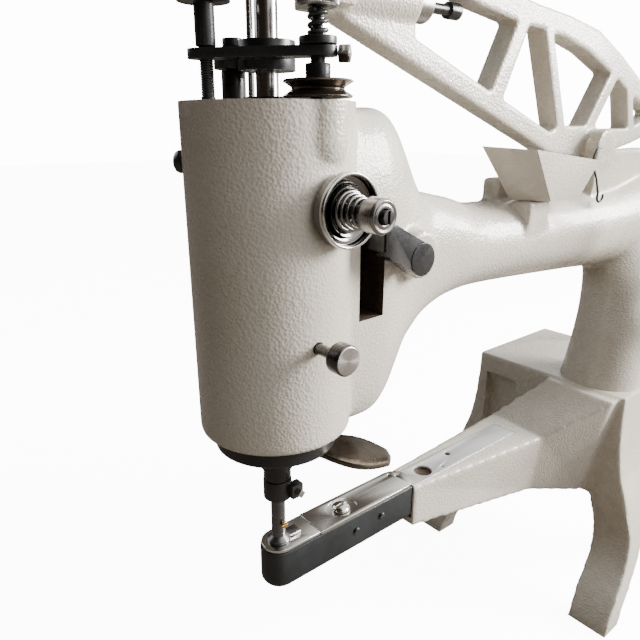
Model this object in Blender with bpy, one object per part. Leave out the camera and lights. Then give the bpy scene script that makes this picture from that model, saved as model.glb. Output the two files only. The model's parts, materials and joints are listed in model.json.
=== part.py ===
"""Hand-cranked cylinder-bed sewing machine for leather and shoes.

The design is drawn in millimetres in the needle frame: X runs from the needle back along the
arms, Y runs across the machine, Z is up, and zero is on the needle axis at the lower face of
the head. to_row() moves it to the row frame, metres with the origin at the centre of the
bottom of the whole machine's box.
"""

import math

import bmesh
import bpy
from mathutils import Matrix, Vector

MM = 0.001
GAP = 0.4  # running and resting clearance between separate pieces

# The corner of the needle frame seen from the row frame, in mm
ROW_SHIFT = Vector((-234.5, 28.0, 212.0))

# Bed casting: base block, four claw legs and the lower arm
FLOOR_Z = -212.0
BLOCK_FRONT_X, BLOCK_REAR_X = 268.0, 372.0
BLOCK_MID_X = (BLOCK_FRONT_X + BLOCK_REAR_X) / 2
BLOCK_TOP_Z, BLOCK_BOTTOM_Z = -38.0, -126.0
BLOCK_HALF_WIDTH = 64.0
BED_TOP_Z = -68.3
BED_FRONT_X = 99.0
FOOT_X, FOOT_INNER_Y, FOOT_OUTER_Y = 228.0, 64.0, 94.0

# Nose at the end of the lower arm
NOSE_HALF_WIDTH = 10.5
NOSE_BOTTOM_Z = -91.0
COVER_END_X = 104.0
COVER_TOP_Z = -66.0
NEEDLE_PLATE_END_X = 22.0
SHUTTLE_FLOOR_Z = -88.0

# Head drum
DRUM_RADIUS = 38.5
DRUM_BOTTOM_Z, DRUM_TOP_Z = 8.0, 164.5
DRUM_BORE_RADIUS = 32.0
DRUM_CEILING_Z = 150.0
SLOT_LOW, SLOT_HIGH = (29.0, 64.0), (46.0, 116.0)  # X and Z of the lifter slot

# Upper arm, column and bearings
PIVOT_X, PIVOT_Z, PIVOT_RADIUS = 276.0, 139.0, 13.0
LUG_INNER_Y, LUG_OUTER_Y = 10.5, 20.0
COLUMN_Y = -31.0
SHAFT_X, SHAFT_Z, SHAFT_RADIUS = 400.0, 96.0, 7.0
HOUSING_RADIUS = 21.0
HOUSING_FAR_Y, HOUSING_NEAR_Y = -28.0, -62.0

# Crank drive
CRANK_THROW = 5.4
CRANK_PIN_Z = SHAFT_Z - CRANK_THROW
TAIL_Z = 163.0
ROCKER_X, ROCKER_Z = 390.0, -74.0
ROCKER_REST = math.radians(11.9)  # both rocker arms start this far from mid swing
LINK_ARM, RACK_ARM = 26.0, 10.0
WHEEL_RADIUS, WHEEL_RIM_RADIUS, WHEEL_Y = 101.0, 7.0, -84.0
GRIP_ORBIT, GRIP_ANGLE = 92.0, math.radians(-35)

# Shuttle in the nose
SHUTTLE_X = 10.5
PINION_RADIUS = 3.0

# Needle and presser group
BAR_RADIUS = 5.0
TUBE_RADIUS = 8.5
RING_RADIUS = 31.4
COLLAR_Z = 117.5
CROSS_PIN_Z = 232.0

# Thread tension on the side of the head
TENSION_X, TENSION_Z = 9.0, 120.5
THUMB_X, THUMB_Z = -2.4, 60.0
LIFTER_X, LIFTER_Z = 58.0, 93.0

# Posts on top of the head: name -> X, Y
LEFT_POST = (-25.0, 8.0)
SHORT_POST = (-6.0, 18.0)
GUIDE_ROD = (8.0, 25.0)
RIGHT_POST = (5.0, -29.0)

PAINT = ("cream_paint", (0.72, 0.69, 0.62), 0.0, 0.35)
BLACK = ("black_oxide", (0.025, 0.025, 0.027), 0.6, 0.45)
STEEL = ("bright_steel", (0.62, 0.62, 0.63), 1.0, 0.25)
DARK_STEEL = ("dark_steel", (0.07, 0.08, 0.10), 0.8, 0.35)
NICKEL = ("nickel_plate", (0.78, 0.77, 0.75), 1.0, 0.12)
SATIN = ("satin_aluminium", (0.72, 0.73, 0.76), 1.0, 0.35)
BRONZE = ("dark_bronze", (0.10, 0.075, 0.055), 0.9, 0.30)
BRASS = ("brass", (0.65, 0.48, 0.20), 1.0, 0.30)
GRIP_PLASTIC = ("grip_plastic", (0.03, 0.03, 0.03), 0.0, 0.45)


def to_row(point):
    """A point of the needle frame, in mm, as a row frame point in metres."""
    return (Vector(point) + ROW_SHIFT) * MM


def material(recipe):
    name, colour, metallic, roughness = recipe
    found = bpy.data.materials.get(name)
    if found:
        return found
    made = bpy.data.materials.new(name)
    made.use_nodes = True
    shader = made.node_tree.nodes["Principled BSDF"]
    shader.inputs["Base Color"].default_value = (*colour, 1.0)
    shader.inputs["Metallic"].default_value = metallic
    shader.inputs["Roughness"].default_value = roughness
    return made


def place(name, mesh_builder, recipe, pivot=(0.0, 0.0, 0.0)):
    """Make an object from a bmesh in needle-frame mm, with its origin on its joint's axis."""
    origin = to_row(pivot)
    for vertex in mesh_builder.verts:
        vertex.co = to_row(vertex.co) - origin
    bmesh.ops.recalc_face_normals(mesh_builder, faces=mesh_builder.faces)
    mesh = bpy.data.meshes.new(name)
    mesh_builder.to_mesh(mesh)
    mesh_builder.free()
    mesh.shade_smooth()
    mesh.set_sharp_from_angle(angle=math.radians(35))
    made = bpy.data.objects.new(name, mesh)
    made.location = origin
    made.data.materials.append(material(recipe))
    bpy.context.scene.collection.objects.link(made)
    return made


def lofted(rings):
    """A closed body through rings of points, flat at both ends."""
    body = bmesh.new()
    loops = [[body.verts.new(point) for point in ring] for ring in rings]
    for near, far in zip(loops, loops[1:]):
        for i in range(len(near)):
            j = (i + 1) % len(near)
            body.faces.new((near[i], near[j], far[j], far[i]))
    body.faces.new(list(reversed(loops[0])))
    body.faces.new(loops[-1])
    bmesh.ops.triangulate(body, faces=body.faces[:])
    return body


def turned(profile, at, axis="Z", segments=32, hollow=False):
    """Turn (radius, height) pairs about an axis. A hollow profile closes on itself."""
    turn = {"Z": Matrix.Identity(3), "X": Matrix.Rotation(math.pi / 2, 3, "Y"),
            "Y": Matrix.Rotation(-math.pi / 2, 3, "X")}[axis]
    body = bmesh.new()
    columns = []
    for k in range(segments):
        angle = 2 * math.pi * k / segments
        spoke = Vector((math.cos(angle), math.sin(angle), 0))
        columns.append([None if r == 0 else body.verts.new(turn @ (spoke * r + Vector((0, 0, h))) + Vector(at))
                        for r, h in profile])
    tips = [body.verts.new(turn @ Vector((0, 0, h)) + Vector(at)) if r == 0 else None
            for r, h in profile]
    steps = len(profile) if hollow else len(profile) - 1
    for k in range(segments):
        here, there = columns[k], columns[(k + 1) % segments]
        for i in range(steps):
            j = (i + 1) % len(profile)
            corners = [here[i] or tips[i], there[i] or tips[i], there[j] or tips[j], here[j] or tips[j]]
            body.faces.new(list(dict.fromkeys(corners)))
    return body


def rod(radius, start, end, axis, at=(0.0, 0.0), segments=16):
    """A plain cylinder along one axis; at gives the other two coordinates."""
    profile = [(0, start), (radius, start), (radius, end), (0, end)]
    return turned(profile, across(axis, at), axis, segments)


def tube(inner, outer, start, end, axis, at=(0.0, 0.0), segments=20):
    profile = [(inner, start), (outer, start), (outer, end), (inner, end)]
    return turned(profile, across(axis, at), axis, segments, hollow=True)


def across(axis, at):
    """The point with the two given coordinates and zero along the axis."""
    a, b = at
    return {"X": (0.0, a, b), "Y": (a, 0.0, b), "Z": (a, b, 0.0)}[axis]


def prism(outline, low, high, axis):
    """Extrude an outline between two planes. axis Y: (x, z) points; axis Z: (x, y) points."""
    if axis == "Y":
        rings = [[(x, level, z) for x, z in outline] for level in (low, high)]
    else:
        rings = [[(x, y, level) for x, y in outline] for level in (low, high)]
    return lofted(rings)


def box(low, high):
    (x0, y0, z0), (x1, y1, z1) = low, high
    return prism([(x0, y0), (x1, y0), (x1, y1), (x0, y1)], z0, z1, "Z")


def strut(start, end, width, thickness):
    """A straight bar in the X-Z plane between two (x, z) points, centred on Y = 0."""
    along = Vector((end[0] - start[0], end[1] - start[1])).normalized()
    side = Vector((-along.y, along.x)) * width / 2
    a, b = Vector(start), Vector(end)
    corners = [a - side, b - side, b + side, a + side]
    return prism([tuple(c) for c in corners], -thickness / 2, thickness / 2, "Y")


def stadium(x0, x1, half_width, y=0.0, arc_steps=8):
    """Outline of a plate with round ends, along X."""
    points = []
    for centre, start in ((x1 - half_width, -90), (x0 + half_width, 90)):
        for i in range(arc_steps + 1):
            angle = math.radians(start + 180 * i / arc_steps)
            points.append((centre + half_width * math.cos(angle), y + half_width * math.sin(angle)))
    return points


def swept(points, radius, sides=8):
    """A round wire through points, with flat ends."""
    points = [Vector(p) for p in points]
    rings = []
    side = None
    for i, point in enumerate(points):
        along = (points[min(i + 1, len(points) - 1)] - points[max(i - 1, 0)]).normalized()
        if side is None:
            side = along.orthogonal().normalized()
        side = (side - along * side.dot(along)).normalized()
        up = along.cross(side)
        rings.append([point + radius * (math.cos(a) * side + math.sin(a) * up)
                      for a in (2 * math.pi * k / sides for k in range(sides))])
    return lofted(rings)


def helper(name, body):
    made = place(name, body, PAINT)
    made.hide_render = True
    made.display_type = "WIRE"
    return made


def combine(target, operation, bodies):
    """Unite bodies with the target, or cut them away from it, by Boolean modifiers."""
    for i, body in enumerate(bodies):
        name = f"{target.name}_{operation.lower()}_{i:02d}"
        modifier = target.modifiers.new(name, "BOOLEAN")
        modifier.operation = operation
        modifier.solver = "EXACT"
        modifier.object = helper(name, body)
    return target


def unite(target, *bodies):
    return combine(target, "UNION", bodies)


def cut(target, *bodies):
    return combine(target, "DIFFERENCE", bodies)


# --- bed -------------------------------------------------------------------------------------


def rectangle_x(x, y0, y1, z0, z1):
    return [(x, y0, z0), (x, y1, z0), (x, y1, z1), (x, y0, z1)]


def rectangle_z(z, x0, x1, y0, y1):
    return [(x0, y0, z), (x1, y0, z), (x1, y1, z), (x0, y1, z)]


def leg(side, rear):
    """A claw leg from under the block, curling out to a flat foot. side is +1 or -1."""

    def section(z, front, depth, inner, outer):
        xs = sorted((front, front + depth))
        if rear:
            xs = [2 * BLOCK_MID_X - x for x in reversed(xs)]
        ys = sorted((side * inner, side * outer))
        return rectangle_z(z, xs[0], xs[1], ys[0], ys[1])

    return lofted([
        section(-92.0, 272.0, 34.0, 38.0, 66.0),
        section(-112.0, 269.0, 33.0, 44.0, 74.0),
        section(-130.0, 267.5, 29.0, 50.0, 80.0),
        section(-150.0, 266.5, 24.0, 56.0, 86.0),
        section(-170.0, 257.0, 22.0, 60.0, 90.0),
        section(-190.0, 240.0, 22.0, 62.0, 93.0),
        section(-203.0, 231.0, 22.0, FOOT_INNER_Y, FOOT_OUTER_Y),
        section(FLOOR_Z, FOOT_X, 22.0, FOOT_INNER_Y, FOOT_OUTER_Y),
    ])


def bed_casting():
    half = BLOCK_HALF_WIDTH
    block = lofted([
        rectangle_z(BLOCK_BOTTOM_Z, BLOCK_FRONT_X, BLOCK_REAR_X, -half - 14, half + 14),
        rectangle_z(-104.0, BLOCK_FRONT_X, BLOCK_REAR_X, -half - 7, half + 7),
        rectangle_z(-75.0, BLOCK_FRONT_X, BLOCK_REAR_X, -half - 2, half + 2),
        rectangle_z(BLOCK_TOP_Z, BLOCK_FRONT_X, BLOCK_REAR_X, -half, half),
    ])
    bed = place("bed_casting", block, PAINT)
    arm = lofted([
        rectangle_x(BED_FRONT_X, -12.2, 12.2, -98.0, BED_TOP_Z),
        [(224.0, -22.0, -118.0), (224.0, 18.0, -118.0), (226.5, 20.0, BED_TOP_Z), (221.0, -28.2, BED_TOP_Z)],
        [(262.0, -42.0, -124.0), (262.0, 20.0, -124.0), (262.0, -4.0, -39.5), (258.0, -60.0, -39.5)],
        [(280.0, -42.0, -125.0), (280.0, 20.0, -125.0), (280.0, -4.0, -39.5), (280.0, -60.0, -39.5)],
    ])
    unite(bed, arm, leg(-1, False), leg(1, False), leg(-1, True), leg(1, True))
    ears = [prism([(368.0, ROCKER_Z - 12), (ROCKER_X, ROCKER_Z - 12), (ROCKER_X + 9, ROCKER_Z - 6),
                   (ROCKER_X + 9, ROCKER_Z + 6), (ROCKER_X, ROCKER_Z + 12), (368.0, ROCKER_Z + 12)],
                  low, low + 8.0, "Y") for low in (-22.0, 14.0)]
    unite(bed, *ears)
    hollow = box((282.0, -54.0, BLOCK_BOTTOM_Z - 10), (358.0, 54.0, -52.0))
    channel = box((90.0, -5.0, -92.0), (378.0, 5.0, -78.0))
    channel_mouth = box((90.0, -7.5, -92.0), (125.0, 7.5, -72.0))
    plate_seat = box((90.0, -NOSE_HALF_WIDTH - GAP, BED_TOP_Z - 2.3), (213.0, 8.4, -60.0))
    far_pocket = box((240.0, 26.0, -118.0), (274.0, 56.0, -54.0))
    pin_hole = rod(3.0 + GAP, -40.0, 40.0, "Y", (ROCKER_X, ROCKER_Z), 12)
    cut(bed, hollow, channel, channel_mouth, plate_seat, far_pocket, pin_hole)
    return bed


def slide_plate():
    top = BED_TOP_Z
    plate = place("slide_plate", box((BED_FRONT_X + 1.0, -NOSE_HALF_WIDTH, top - 1.8),
                                     (212.5, 8.0, top)), SATIN)
    holes = [rod(6.4, top - 5, top + 5, "Z", (118.5, -1.5), 16),
             rod(2.4, top - 5, top + 5, "Z", (149.0, 2.0), 12),
             rod(1.5, top - 5, top + 5, "Z", (133.5, -6.6), 12)]
    return cut(plate, *holes)


def nose_outline(x_end, half_width, arc_steps=10):
    points = [(x_end, -half_width), (x_end, half_width)]
    for i in range(arc_steps + 1):
        angle = math.radians(90 + 180 * i / arc_steps)
        points.append((half_width * math.cos(angle), half_width * math.sin(angle)))
    return points


def nose_housing():
    half = NOSE_HALF_WIDTH
    low = [(x, y, NOSE_BOTTOM_Z) for x, y in nose_outline(BED_FRONT_X - GAP, half - 1.6)]
    mid = [(x, y, NOSE_BOTTOM_Z + 2.5) for x, y in nose_outline(BED_FRONT_X - GAP, half)]
    top = [(x, y, BED_TOP_Z) for x, y in nose_outline(BED_FRONT_X - GAP, half)]
    housing = place("nose_housing", lofted([low, mid, top]), DARK_STEEL)
    cup = rod(8.6, SHUTTLE_FLOOR_Z, -60.0, "Z", (SHUTTLE_X, 0.0), 24)
    needle_well = rod(2.4, SHUTTLE_FLOOR_Z + 0.5, -60.0, "Z", (0.0, 0.0), 12)
    channel = box((3.5, 3.0, SHUTTLE_FLOOR_Z), (120.0, 6.9, -83.0))
    cover_well = box((24.0, -5.0, -80.0), (90.0, 5.0, -60.0))
    return cut(housing, cup, needle_well, channel, cover_well)


def needle_plate():
    outline = nose_outline(NEEDLE_PLATE_END_X, NOSE_HALF_WIDTH - 0.5)
    plate = place("needle_plate", prism(outline, BED_TOP_Z + GAP, COVER_TOP_Z, "Z"), NICKEL)
    return cut(plate, rod(2.2, -75.0, -60.0, "Z", (0.0, 0.0), 12))


def nose_cover(pivot):
    """The sliding shuttle cover: square against the needle plate, round at its rear end."""
    half = NOSE_HALF_WIDTH
    front = NEEDLE_PLATE_END_X + GAP
    outline = [(x, y) for x, y in stadium(front - half, COVER_END_X, half) if x > front + half]
    outline = outline + [(front, half), (front, -half)]
    cover = place("nose_cover", prism(outline, BED_TOP_Z + GAP, COVER_TOP_Z, "Z"), NICKEL, pivot)
    recess = prism(stadium(36.0, 57.0, 7.6), COVER_TOP_Z - 0.9, -60.0, "Z")
    holes = [rod(1.2, -75.0, -60.0, "Z", (93.9, 6.2), 10), rod(1.2, -75.0, -60.0, "Z", (97.5, 2.4), 10)]
    return cut(cover, recess, *holes)


def cover_knob(pivot):
    low = COVER_TOP_Z - 0.9 + GAP
    profile = [(0, low), (5.6, low), (5.6, low + 0.8), (4.6, low + 2.0), (2.6, low + 2.8), (0, low + 3.0)]
    knob = place("cover_knob", turned(profile, (46.0, 0.0, 0.0), "Z", 16), NICKEL, pivot)
    return cut(knob, box((38.0, -0.6, low + 1.9), (54.0, 0.6, low + 5.0)))


def nose_screw(name, x, z):
    profile = [(0, 0.0), (2.0, 0.0), (2.0, 0.8), (1.4, 1.1), (0, 1.1)]
    made = turned(profile, (0, 0, 0), "Y", 12)
    bmesh.ops.scale(made, vec=(1, -1, 1), verts=made.verts)
    bmesh.ops.translate(made, vec=(x, -NOSE_HALF_WIDTH - GAP, z), verts=made.verts)
    return place(name, made, STEEL)


# --- shuttle drive ---------------------------------------------------------------------------


def shuttle_hook(pivot):
    """Oscillating hook: a pinion below, a floor disc and a C-shaped wall round the bobbin."""
    low = SHUTTLE_FLOOR_Z + GAP
    floor = low + 3.6
    profile = [(0, low), (PINION_RADIUS, low), (PINION_RADIUS, floor), (8.0, floor), (8.0, floor + 12.0),
               (6.8, floor + 12.0), (6.8, floor + 1.4), (0, floor + 1.4)]
    hook = place("shuttle_hook", turned(profile, (SHUTTLE_X, 0, 0), "Z", 24), STEEL, pivot)
    return cut(hook, box((SHUTTLE_X - 12, -3.0, floor + 3.0), (SHUTTLE_X, 3.0, floor + 20.0)))


def bobbin(pivot):
    low = SHUTTLE_FLOOR_Z + 4.0 + 1.4 + GAP
    profile = [(1.2, low), (6.2, low), (6.2, low + 0.9), (2.4, low + 0.9), (2.4, low + 8.4),
               (6.2, low + 8.4), (6.2, low + 9.3), (1.2, low + 9.3)]
    return place("bobbin", turned(profile, (SHUTTLE_X, 0, 0), "Z", 20, hollow=True), SATIN, pivot)


def shuttle_rack(pivot):
    """Push rod from the rocker behind the block to the pinion in the nose."""
    near, far = PINION_RADIUS + GAP, PINION_RADIUS + GAP + 3.0
    low = SHUTTLE_FLOOR_Z + GAP
    rack = place("shuttle_rack", box((4.5, near, low), (112.0, far, low + 3.2)), STEEL, pivot)
    rear = box((106.0, -3.6, -90.0), (396.0, 3.7, -81.0))
    foot = box((103.0, -1.0, -89.0), (112.5, far - 0.5, -82.0))
    unite(rack, foot, rear)
    return cut(rack, box((384.9, -10.0, -87.0), (391.0, 10.0, -70.0)))


def rack_rocker(pivot):
    """Bell crank behind the block: one arm down into the rack, one arm back to the link."""
    tip = (ROCKER_X - RACK_ARM * math.sin(ROCKER_REST), ROCKER_Z - RACK_ARM * math.cos(ROCKER_REST))
    end = link_foot()
    rocker = place("rack_rocker", rod(5.5, -13.5, 13.5, "Y", (ROCKER_X, ROCKER_Z)), BLACK, pivot)
    down = strut((ROCKER_X, ROCKER_Z), tip, 4.4, 6.0)
    ball = rod(2.6, -3.0, 3.0, "Y", tip, 12)
    back = strut((ROCKER_X, ROCKER_Z), end, 8.0, 5.6)
    bmesh.ops.translate(back, vec=(0, -3.6, 0), verts=back.verts)
    eye = rod(6.0, -7.0, -0.2, "Y", end)
    pin = rod(3.0, -2.0, 8.6, "Y", end)
    unite(rocker, down, ball, back, eye, pin)
    return cut(rocker, rod(3.0 + 0.35, -20.0, 20.0, "Y", (ROCKER_X, ROCKER_Z)))


def rocker_pin():
    profile = [(0, -25.0), (5.0, -25.0), (5.0, -22.4), (3.0, -22.4), (3.0, 24.0), (0, 24.0)]
    return place("rocker_pin", turned(profile, (ROCKER_X, 0, ROCKER_Z), "Y", 16), STEEL)


def link_foot():
    return (ROCKER_X + LINK_ARM * math.cos(ROCKER_REST), ROCKER_Z - LINK_ARM * math.sin(ROCKER_REST))


def crank_link(name, top, bottom, low, high, bottom_hole, top_hole, pivot):
    """A flat rod with an eye at each end, between the Y planes low and high."""
    middle = (low + high) / 2
    along = Vector((top[0] - bottom[0], top[1] - bottom[1])).normalized() * 5.6
    bar = strut(Vector(bottom) + along, Vector(top) - along, 8.0, high - low - 1.0)
    bmesh.ops.translate(bar, vec=(0, middle, 0), verts=bar.verts)
    link = place(name, bar, BLACK, pivot)
    unite(link, rod(8.0, low, high, "Y", top), rod(7.5, low, high, "Y", bottom))
    return cut(link, rod(top_hole, -30.0, 30.0, "Y", top, 18), rod(bottom_hole, -30.0, 30.0, "Y", bottom, 14))


# --- arm, column and head --------------------------------------------------------------------


def oval_x(x, half_width, low, high, count=24, power=2.4, y=0.0):
    """A rounded section across the arm at one X."""
    middle, half_height = (low + high) / 2, (high - low) / 2
    ring = []
    for k in range(count):
        angle = 2 * math.pi * k / count
        c, s = math.cos(angle), math.sin(angle)
        ring.append((x, y + half_width * math.copysign(abs(c) ** (2 / power), c),
                     middle + half_height * math.copysign(abs(s) ** (2 / power), s)))
    return ring


def oval_z(z, x, y, radius_x, radius_y, count=24):
    return [(x + radius_x * math.cos(a), y + radius_y * math.sin(a), z)
            for a in (2 * math.pi * k / count for k in range(count))]


def arm_body():
    """Funnel from the head into the round arm, growing to the barrel over the column."""
    return lofted([
        oval_x(24.0, 31.0, 2.0, 163.5, power=3.4),
        oval_x(48.0, 30.0, 1.0, 163.0, power=3.4),
        oval_x(59.0, 28.0, 4.5, 163.0, power=3.0),
        oval_x(66.0, 26.5, 14.0, 158.5, power=2.8),
        oval_x(74.0, 25.5, 29.0, 145.5, power=2.6),
        oval_x(81.0, 25.0, 37.5, 133.0, power=2.5),
        oval_x(90.0, 24.5, 46.0, 122.5),
        oval_x(104.0, 24.0, 53.0, 118.5),
        oval_x(122.0, 24.0, 56.5, 114.8, power=2.2),
        oval_x(150.0, 24.5, 57.5, 109.0, power=2.0),
        oval_x(220.0, 28.5, 54.0, 110.5, power=2.0),
        oval_x(290.0, 33.0, 49.0, 115.0, power=2.0),
        oval_x(335.0, 38.0, 42.0, 121.0, power=2.2),
        oval_x(365.0, 38.0, 44.0, 121.0, power=2.4),
        oval_x(380.0, 32.0, 52.0, 114.0, power=2.4),
    ])


def column_body():
    return lofted([
        oval_z(BLOCK_TOP_Z + GAP, 297.0, COLUMN_Y, 29.5, 32.0),
        oval_z(-30.0, 299.0, COLUMN_Y, 28.5, 30.5),
        oval_z(-10.0, 305.0, COLUMN_Y + 1, 28.0, 29.0),
        oval_z(15.0, 314.0, COLUMN_Y + 3, 29.0, 28.5),
        oval_z(40.0, 325.0, COLUMN_Y + 8, 32.0, 29.0),
        oval_z(58.0, 337.0, COLUMN_Y + 16, 37.0, 31.0),
        oval_z(80.0, 342.0, COLUMN_Y + 26, 36.0, 31.0),
    ])


def arm_casting():
    """Column, upper arm, funnel and hollow head drum in one casting."""
    drum = turned([(0, DRUM_BOTTOM_Z), (DRUM_RADIUS - 1.4, DRUM_BOTTOM_Z), (DRUM_RADIUS - 0.2, DRUM_BOTTOM_Z + 2),
                   (DRUM_RADIUS + 0.5, DRUM_TOP_Z - 1.5), (DRUM_RADIUS - 0.8, DRUM_TOP_Z), (0, DRUM_TOP_Z)],
                  (0, 0, 0), "Z", 36)
    casting = place("arm_casting", drum, PAINT)
    post_boss = turned([(0, 137.0), (8.0, 138.6), (12.0, 141.6), (13.2, 146.0), (13.2, DRUM_TOP_Z), (0, DRUM_TOP_Z)],
                       (RIGHT_POST[0], RIGHT_POST[1], 0), "Z", 20)
    lifter_pad = rod(12.5, -34.5, -15.0, "Y", (70.0, LIFTER_Z - 1), 16)
    lugs = rod(PIVOT_RADIUS, -LUG_OUTER_Y, LUG_OUTER_Y, "Y", (PIVOT_X, PIVOT_Z), 24)
    saddle = prism([(262.0, 96.0), (352.0, 96.0), (352.0, 128.0), (338.0, PIVOT_Z - 1), (PIVOT_X, PIVOT_Z - 2.2),
                    (263.5, PIVOT_Z - 2.2)], -LUG_OUTER_Y + 0.4, LUG_OUTER_Y - 0.4, "Y")
    tray_pad = box((176.0, -26.0, 90.0), (199.0, -12.0, 109.3))
    stop_pad = box((172.0, -5.0, 98.0), (186.0, 8.0, 122.5))
    housing = rod(HOUSING_RADIUS, HOUSING_NEAR_Y, HOUSING_FAR_Y, "Y", (SHAFT_X, SHAFT_Z), 24)
    bridge = prism([(345.0, 66.0), (392.0, 78.0), (404.0, 80.0), (404.0, 112.0), (392.0, 114.0), (345.0, 112.0)],
                   -56.0, -29.0, "Y")
    unite(casting, arm_body(), column_body(), post_boss, lifter_pad, lugs, saddle, tray_pad, stop_pad,
          housing, bridge)
    bore = rod(DRUM_BORE_RADIUS, DRUM_BOTTOM_Z - 10, DRUM_CEILING_Z, "Z", (0.0, 0.0), 28)
    bar_bore = rod(9.1, 140.0, 180.0, "Z", (0.0, 0.0), 16)
    (x0, z0), (x1, z1) = SLOT_LOW, SLOT_HIGH
    slot = box((x0, -50.0, z0), (x1, 6.0, z1))
    lifter_hole = rod(4.0 + GAP, -50.0, -20.0, "Y", (LIFTER_X, LIFTER_Z), 12)
    lever_gap = box((250.0, -LUG_INNER_Y, 124.0), (360.0, LUG_INNER_Y, 160.0))
    pivot_hole = rod(6.0 + GAP, -15.6, 40.0, "Y", (PIVOT_X, PIVOT_Z), 16)
    shaft_hole = rod(SHAFT_RADIUS + GAP, -80.0, 0.0, "Y", (SHAFT_X, SHAFT_Z), 18)
    post_holes = [rod(3.4, 154.0, 180.0, "Z", at, 12) for at in (LEFT_POST, SHORT_POST, RIGHT_POST)]
    rod_hole = rod(1.9, 158.0, 180.0, "Z", GUIDE_ROD, 12)
    stud_hole = rod(3.4, -60.0, -25.0, "Y", (TENSION_X, TENSION_Z), 12)
    thumb_hole = rod(3.0, -60.0, -25.0, "Y", (THUMB_X, THUMB_Z), 12)
    cut(casting, bore, bar_bore, slot, lifter_hole, lever_gap, pivot_hole, shaft_hole, *post_holes,
        rod_hole, stud_hole, thumb_hole)
    return casting


def bar_bushing():
    profile = [(BAR_RADIUS + 0.35, 152.0), (8.7, 152.0), (8.7, DRUM_TOP_Z + GAP), (10.6, DRUM_TOP_Z + GAP),
               (10.6, DRUM_TOP_Z + 2.0), (BAR_RADIUS + 0.35, DRUM_TOP_Z + 2.0)]
    return place("bar_bushing", turned(profile, (0, 0, 0), "Z", 20, hollow=True), BLACK)


def side_plug():
    """Black rounded cap on the far side of the drum."""
    profile = [(0, 0.0), (5.2, 0.0), (5.2, 1.2), (4.4, 2.8), (2.4, 3.8), (0, 4.1)]
    made = turned(profile, (0, 0, 0), "X", 14)
    bmesh.ops.translate(made, vec=(DRUM_RADIUS + 0.9, 0, 139.0), verts=made.verts)
    bmesh.ops.rotate(made, cent=(0, 0, 0), matrix=Matrix.Rotation(math.radians(142), 3, "Z"), verts=made.verts)
    return place("side_plug", made, BLACK)


# --- presser group ---------------------------------------------------------------------------


def direction_ring(pivot):
    profile = [(9.1, -3.0), (28.5, -3.0), (RING_RADIUS, -1.2), (RING_RADIUS, 18.0), (26.0, 18.0), (26.0, 5.0),
               (9.1, 5.0)]
    return place("direction_ring", turned(profile, (0, 0, 0), "Z", 36, hollow=True), BLACK, pivot)


def ring_handle(pivot):
    """Leaf-shaped lever under the ring, for turning the foot and the feed direction."""
    length, root, width, droop = 46.0, 15.0, 15.0, 0.19
    right, left = [], []
    for i in range(13):
        t = i / 12
        half = width * (0.42 + 0.58 * math.sin(math.pi * min(1.0, t * 1.02) ** 1.25)) if t < 1 else 3.4
        x = root + length * t
        right.append((x, -half))
        left.append((x, half))
    outline = right + list(reversed(left))
    low = [(x, y, -7.8 - droop * (x - root)) for x, y in outline]
    high = [(x, y, -3.4 - droop * (x - root)) for x, y in outline]
    leaf = lofted([low, high])
    bmesh.ops.rotate(leaf, cent=(0, 0, 0), matrix=Matrix.Rotation(math.radians(-39), 3, "Z"), verts=leaf.verts)
    return place("ring_handle", leaf, BRONZE, pivot)


def presser_tube(pivot):
    inner, outer = BAR_RADIUS + 0.5, TUBE_RADIUS
    profile = [(inner, -25.6), (7.4, -25.6), (7.4, -19.0), (outer, -19.0), (outer, COLLAR_Z), (24.0, COLLAR_Z),
               (24.0, COLLAR_Z + 4), (outer, COLLAR_Z + 4), (outer, 128.0), (inner, 128.0)]
    return place("presser_tube", turned(profile, (0, 0, 0), "Z", 24, hollow=True), BLACK, pivot)


def presser_spring(pivot):
    return place("presser_spring", tube(10.0, 13.6, COLLAR_Z + 4 + GAP, DRUM_CEILING_Z - GAP, "Z"), STEEL, pivot)


def foot_clamp(pivot):
    """Clamp collar with a flat boss for its screw."""
    clamp = place("foot_clamp", tube(BAR_RADIUS + 0.5, 7.7, -37.0, -26.0, "Z"), BLACK, pivot)
    boss = box((2.0, -11.2, -35.4), (9.0, -5.6, -27.6))
    unite(clamp, boss)
    return cut(clamp, rod(BAR_RADIUS + 0.5, -50.0, -10.0, "Z", (0.0, 0.0), 16))


def clamp_screw(pivot):
    profile = [(0, -14.6), (2.6, -14.6), (2.6, -11.6), (0, -11.6)]
    return place("clamp_screw", turned(profile, (5.5, 0, -31.5), "Y", 4), STEEL, pivot)


def presser_foot(pivot):
    profile = [(1.7, -65.6), (6.4, -65.6), (6.4, -63.9), (3.9, -62.2), (3.9, -37.4), (1.7, -37.4)]
    foot = place("presser_foot", turned(profile, (0, 0, 0), "Z", 20, hollow=True), DARK_STEEL, pivot)
    toe = box((-3.6, -3.2, -65.6), (13.0, 3.2, -64.0))
    unite(foot, toe)
    return cut(foot, rod(1.7, -80.0, -20.0, "Z", (0.0, 0.0), 12))


def foot_screw(pivot):
    profile = [(0, -6.6), (2.0, -6.6), (2.0, -5.4), (1.2, -5.4), (1.2, -4.3), (0, -4.3)]
    return place("foot_screw", turned(profile, (0.0, 0, -53.0), "Y", 12), BRASS, pivot)


def needle_bar(pivot):
    return place("needle_bar", rod(BAR_RADIUS, -4.0, 242.0, "Z", (0.0, 0.0), 20), STEEL, pivot)


def needle(pivot):
    profile = [(0, -60.0), (1.0, -54.0), (1.0, -24.0), (1.4, -22.0), (1.4, -4.4), (0, -4.4)]
    return place("needle", turned(profile, (0, 0, 0), "Z", 12), STEEL, pivot)


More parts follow.
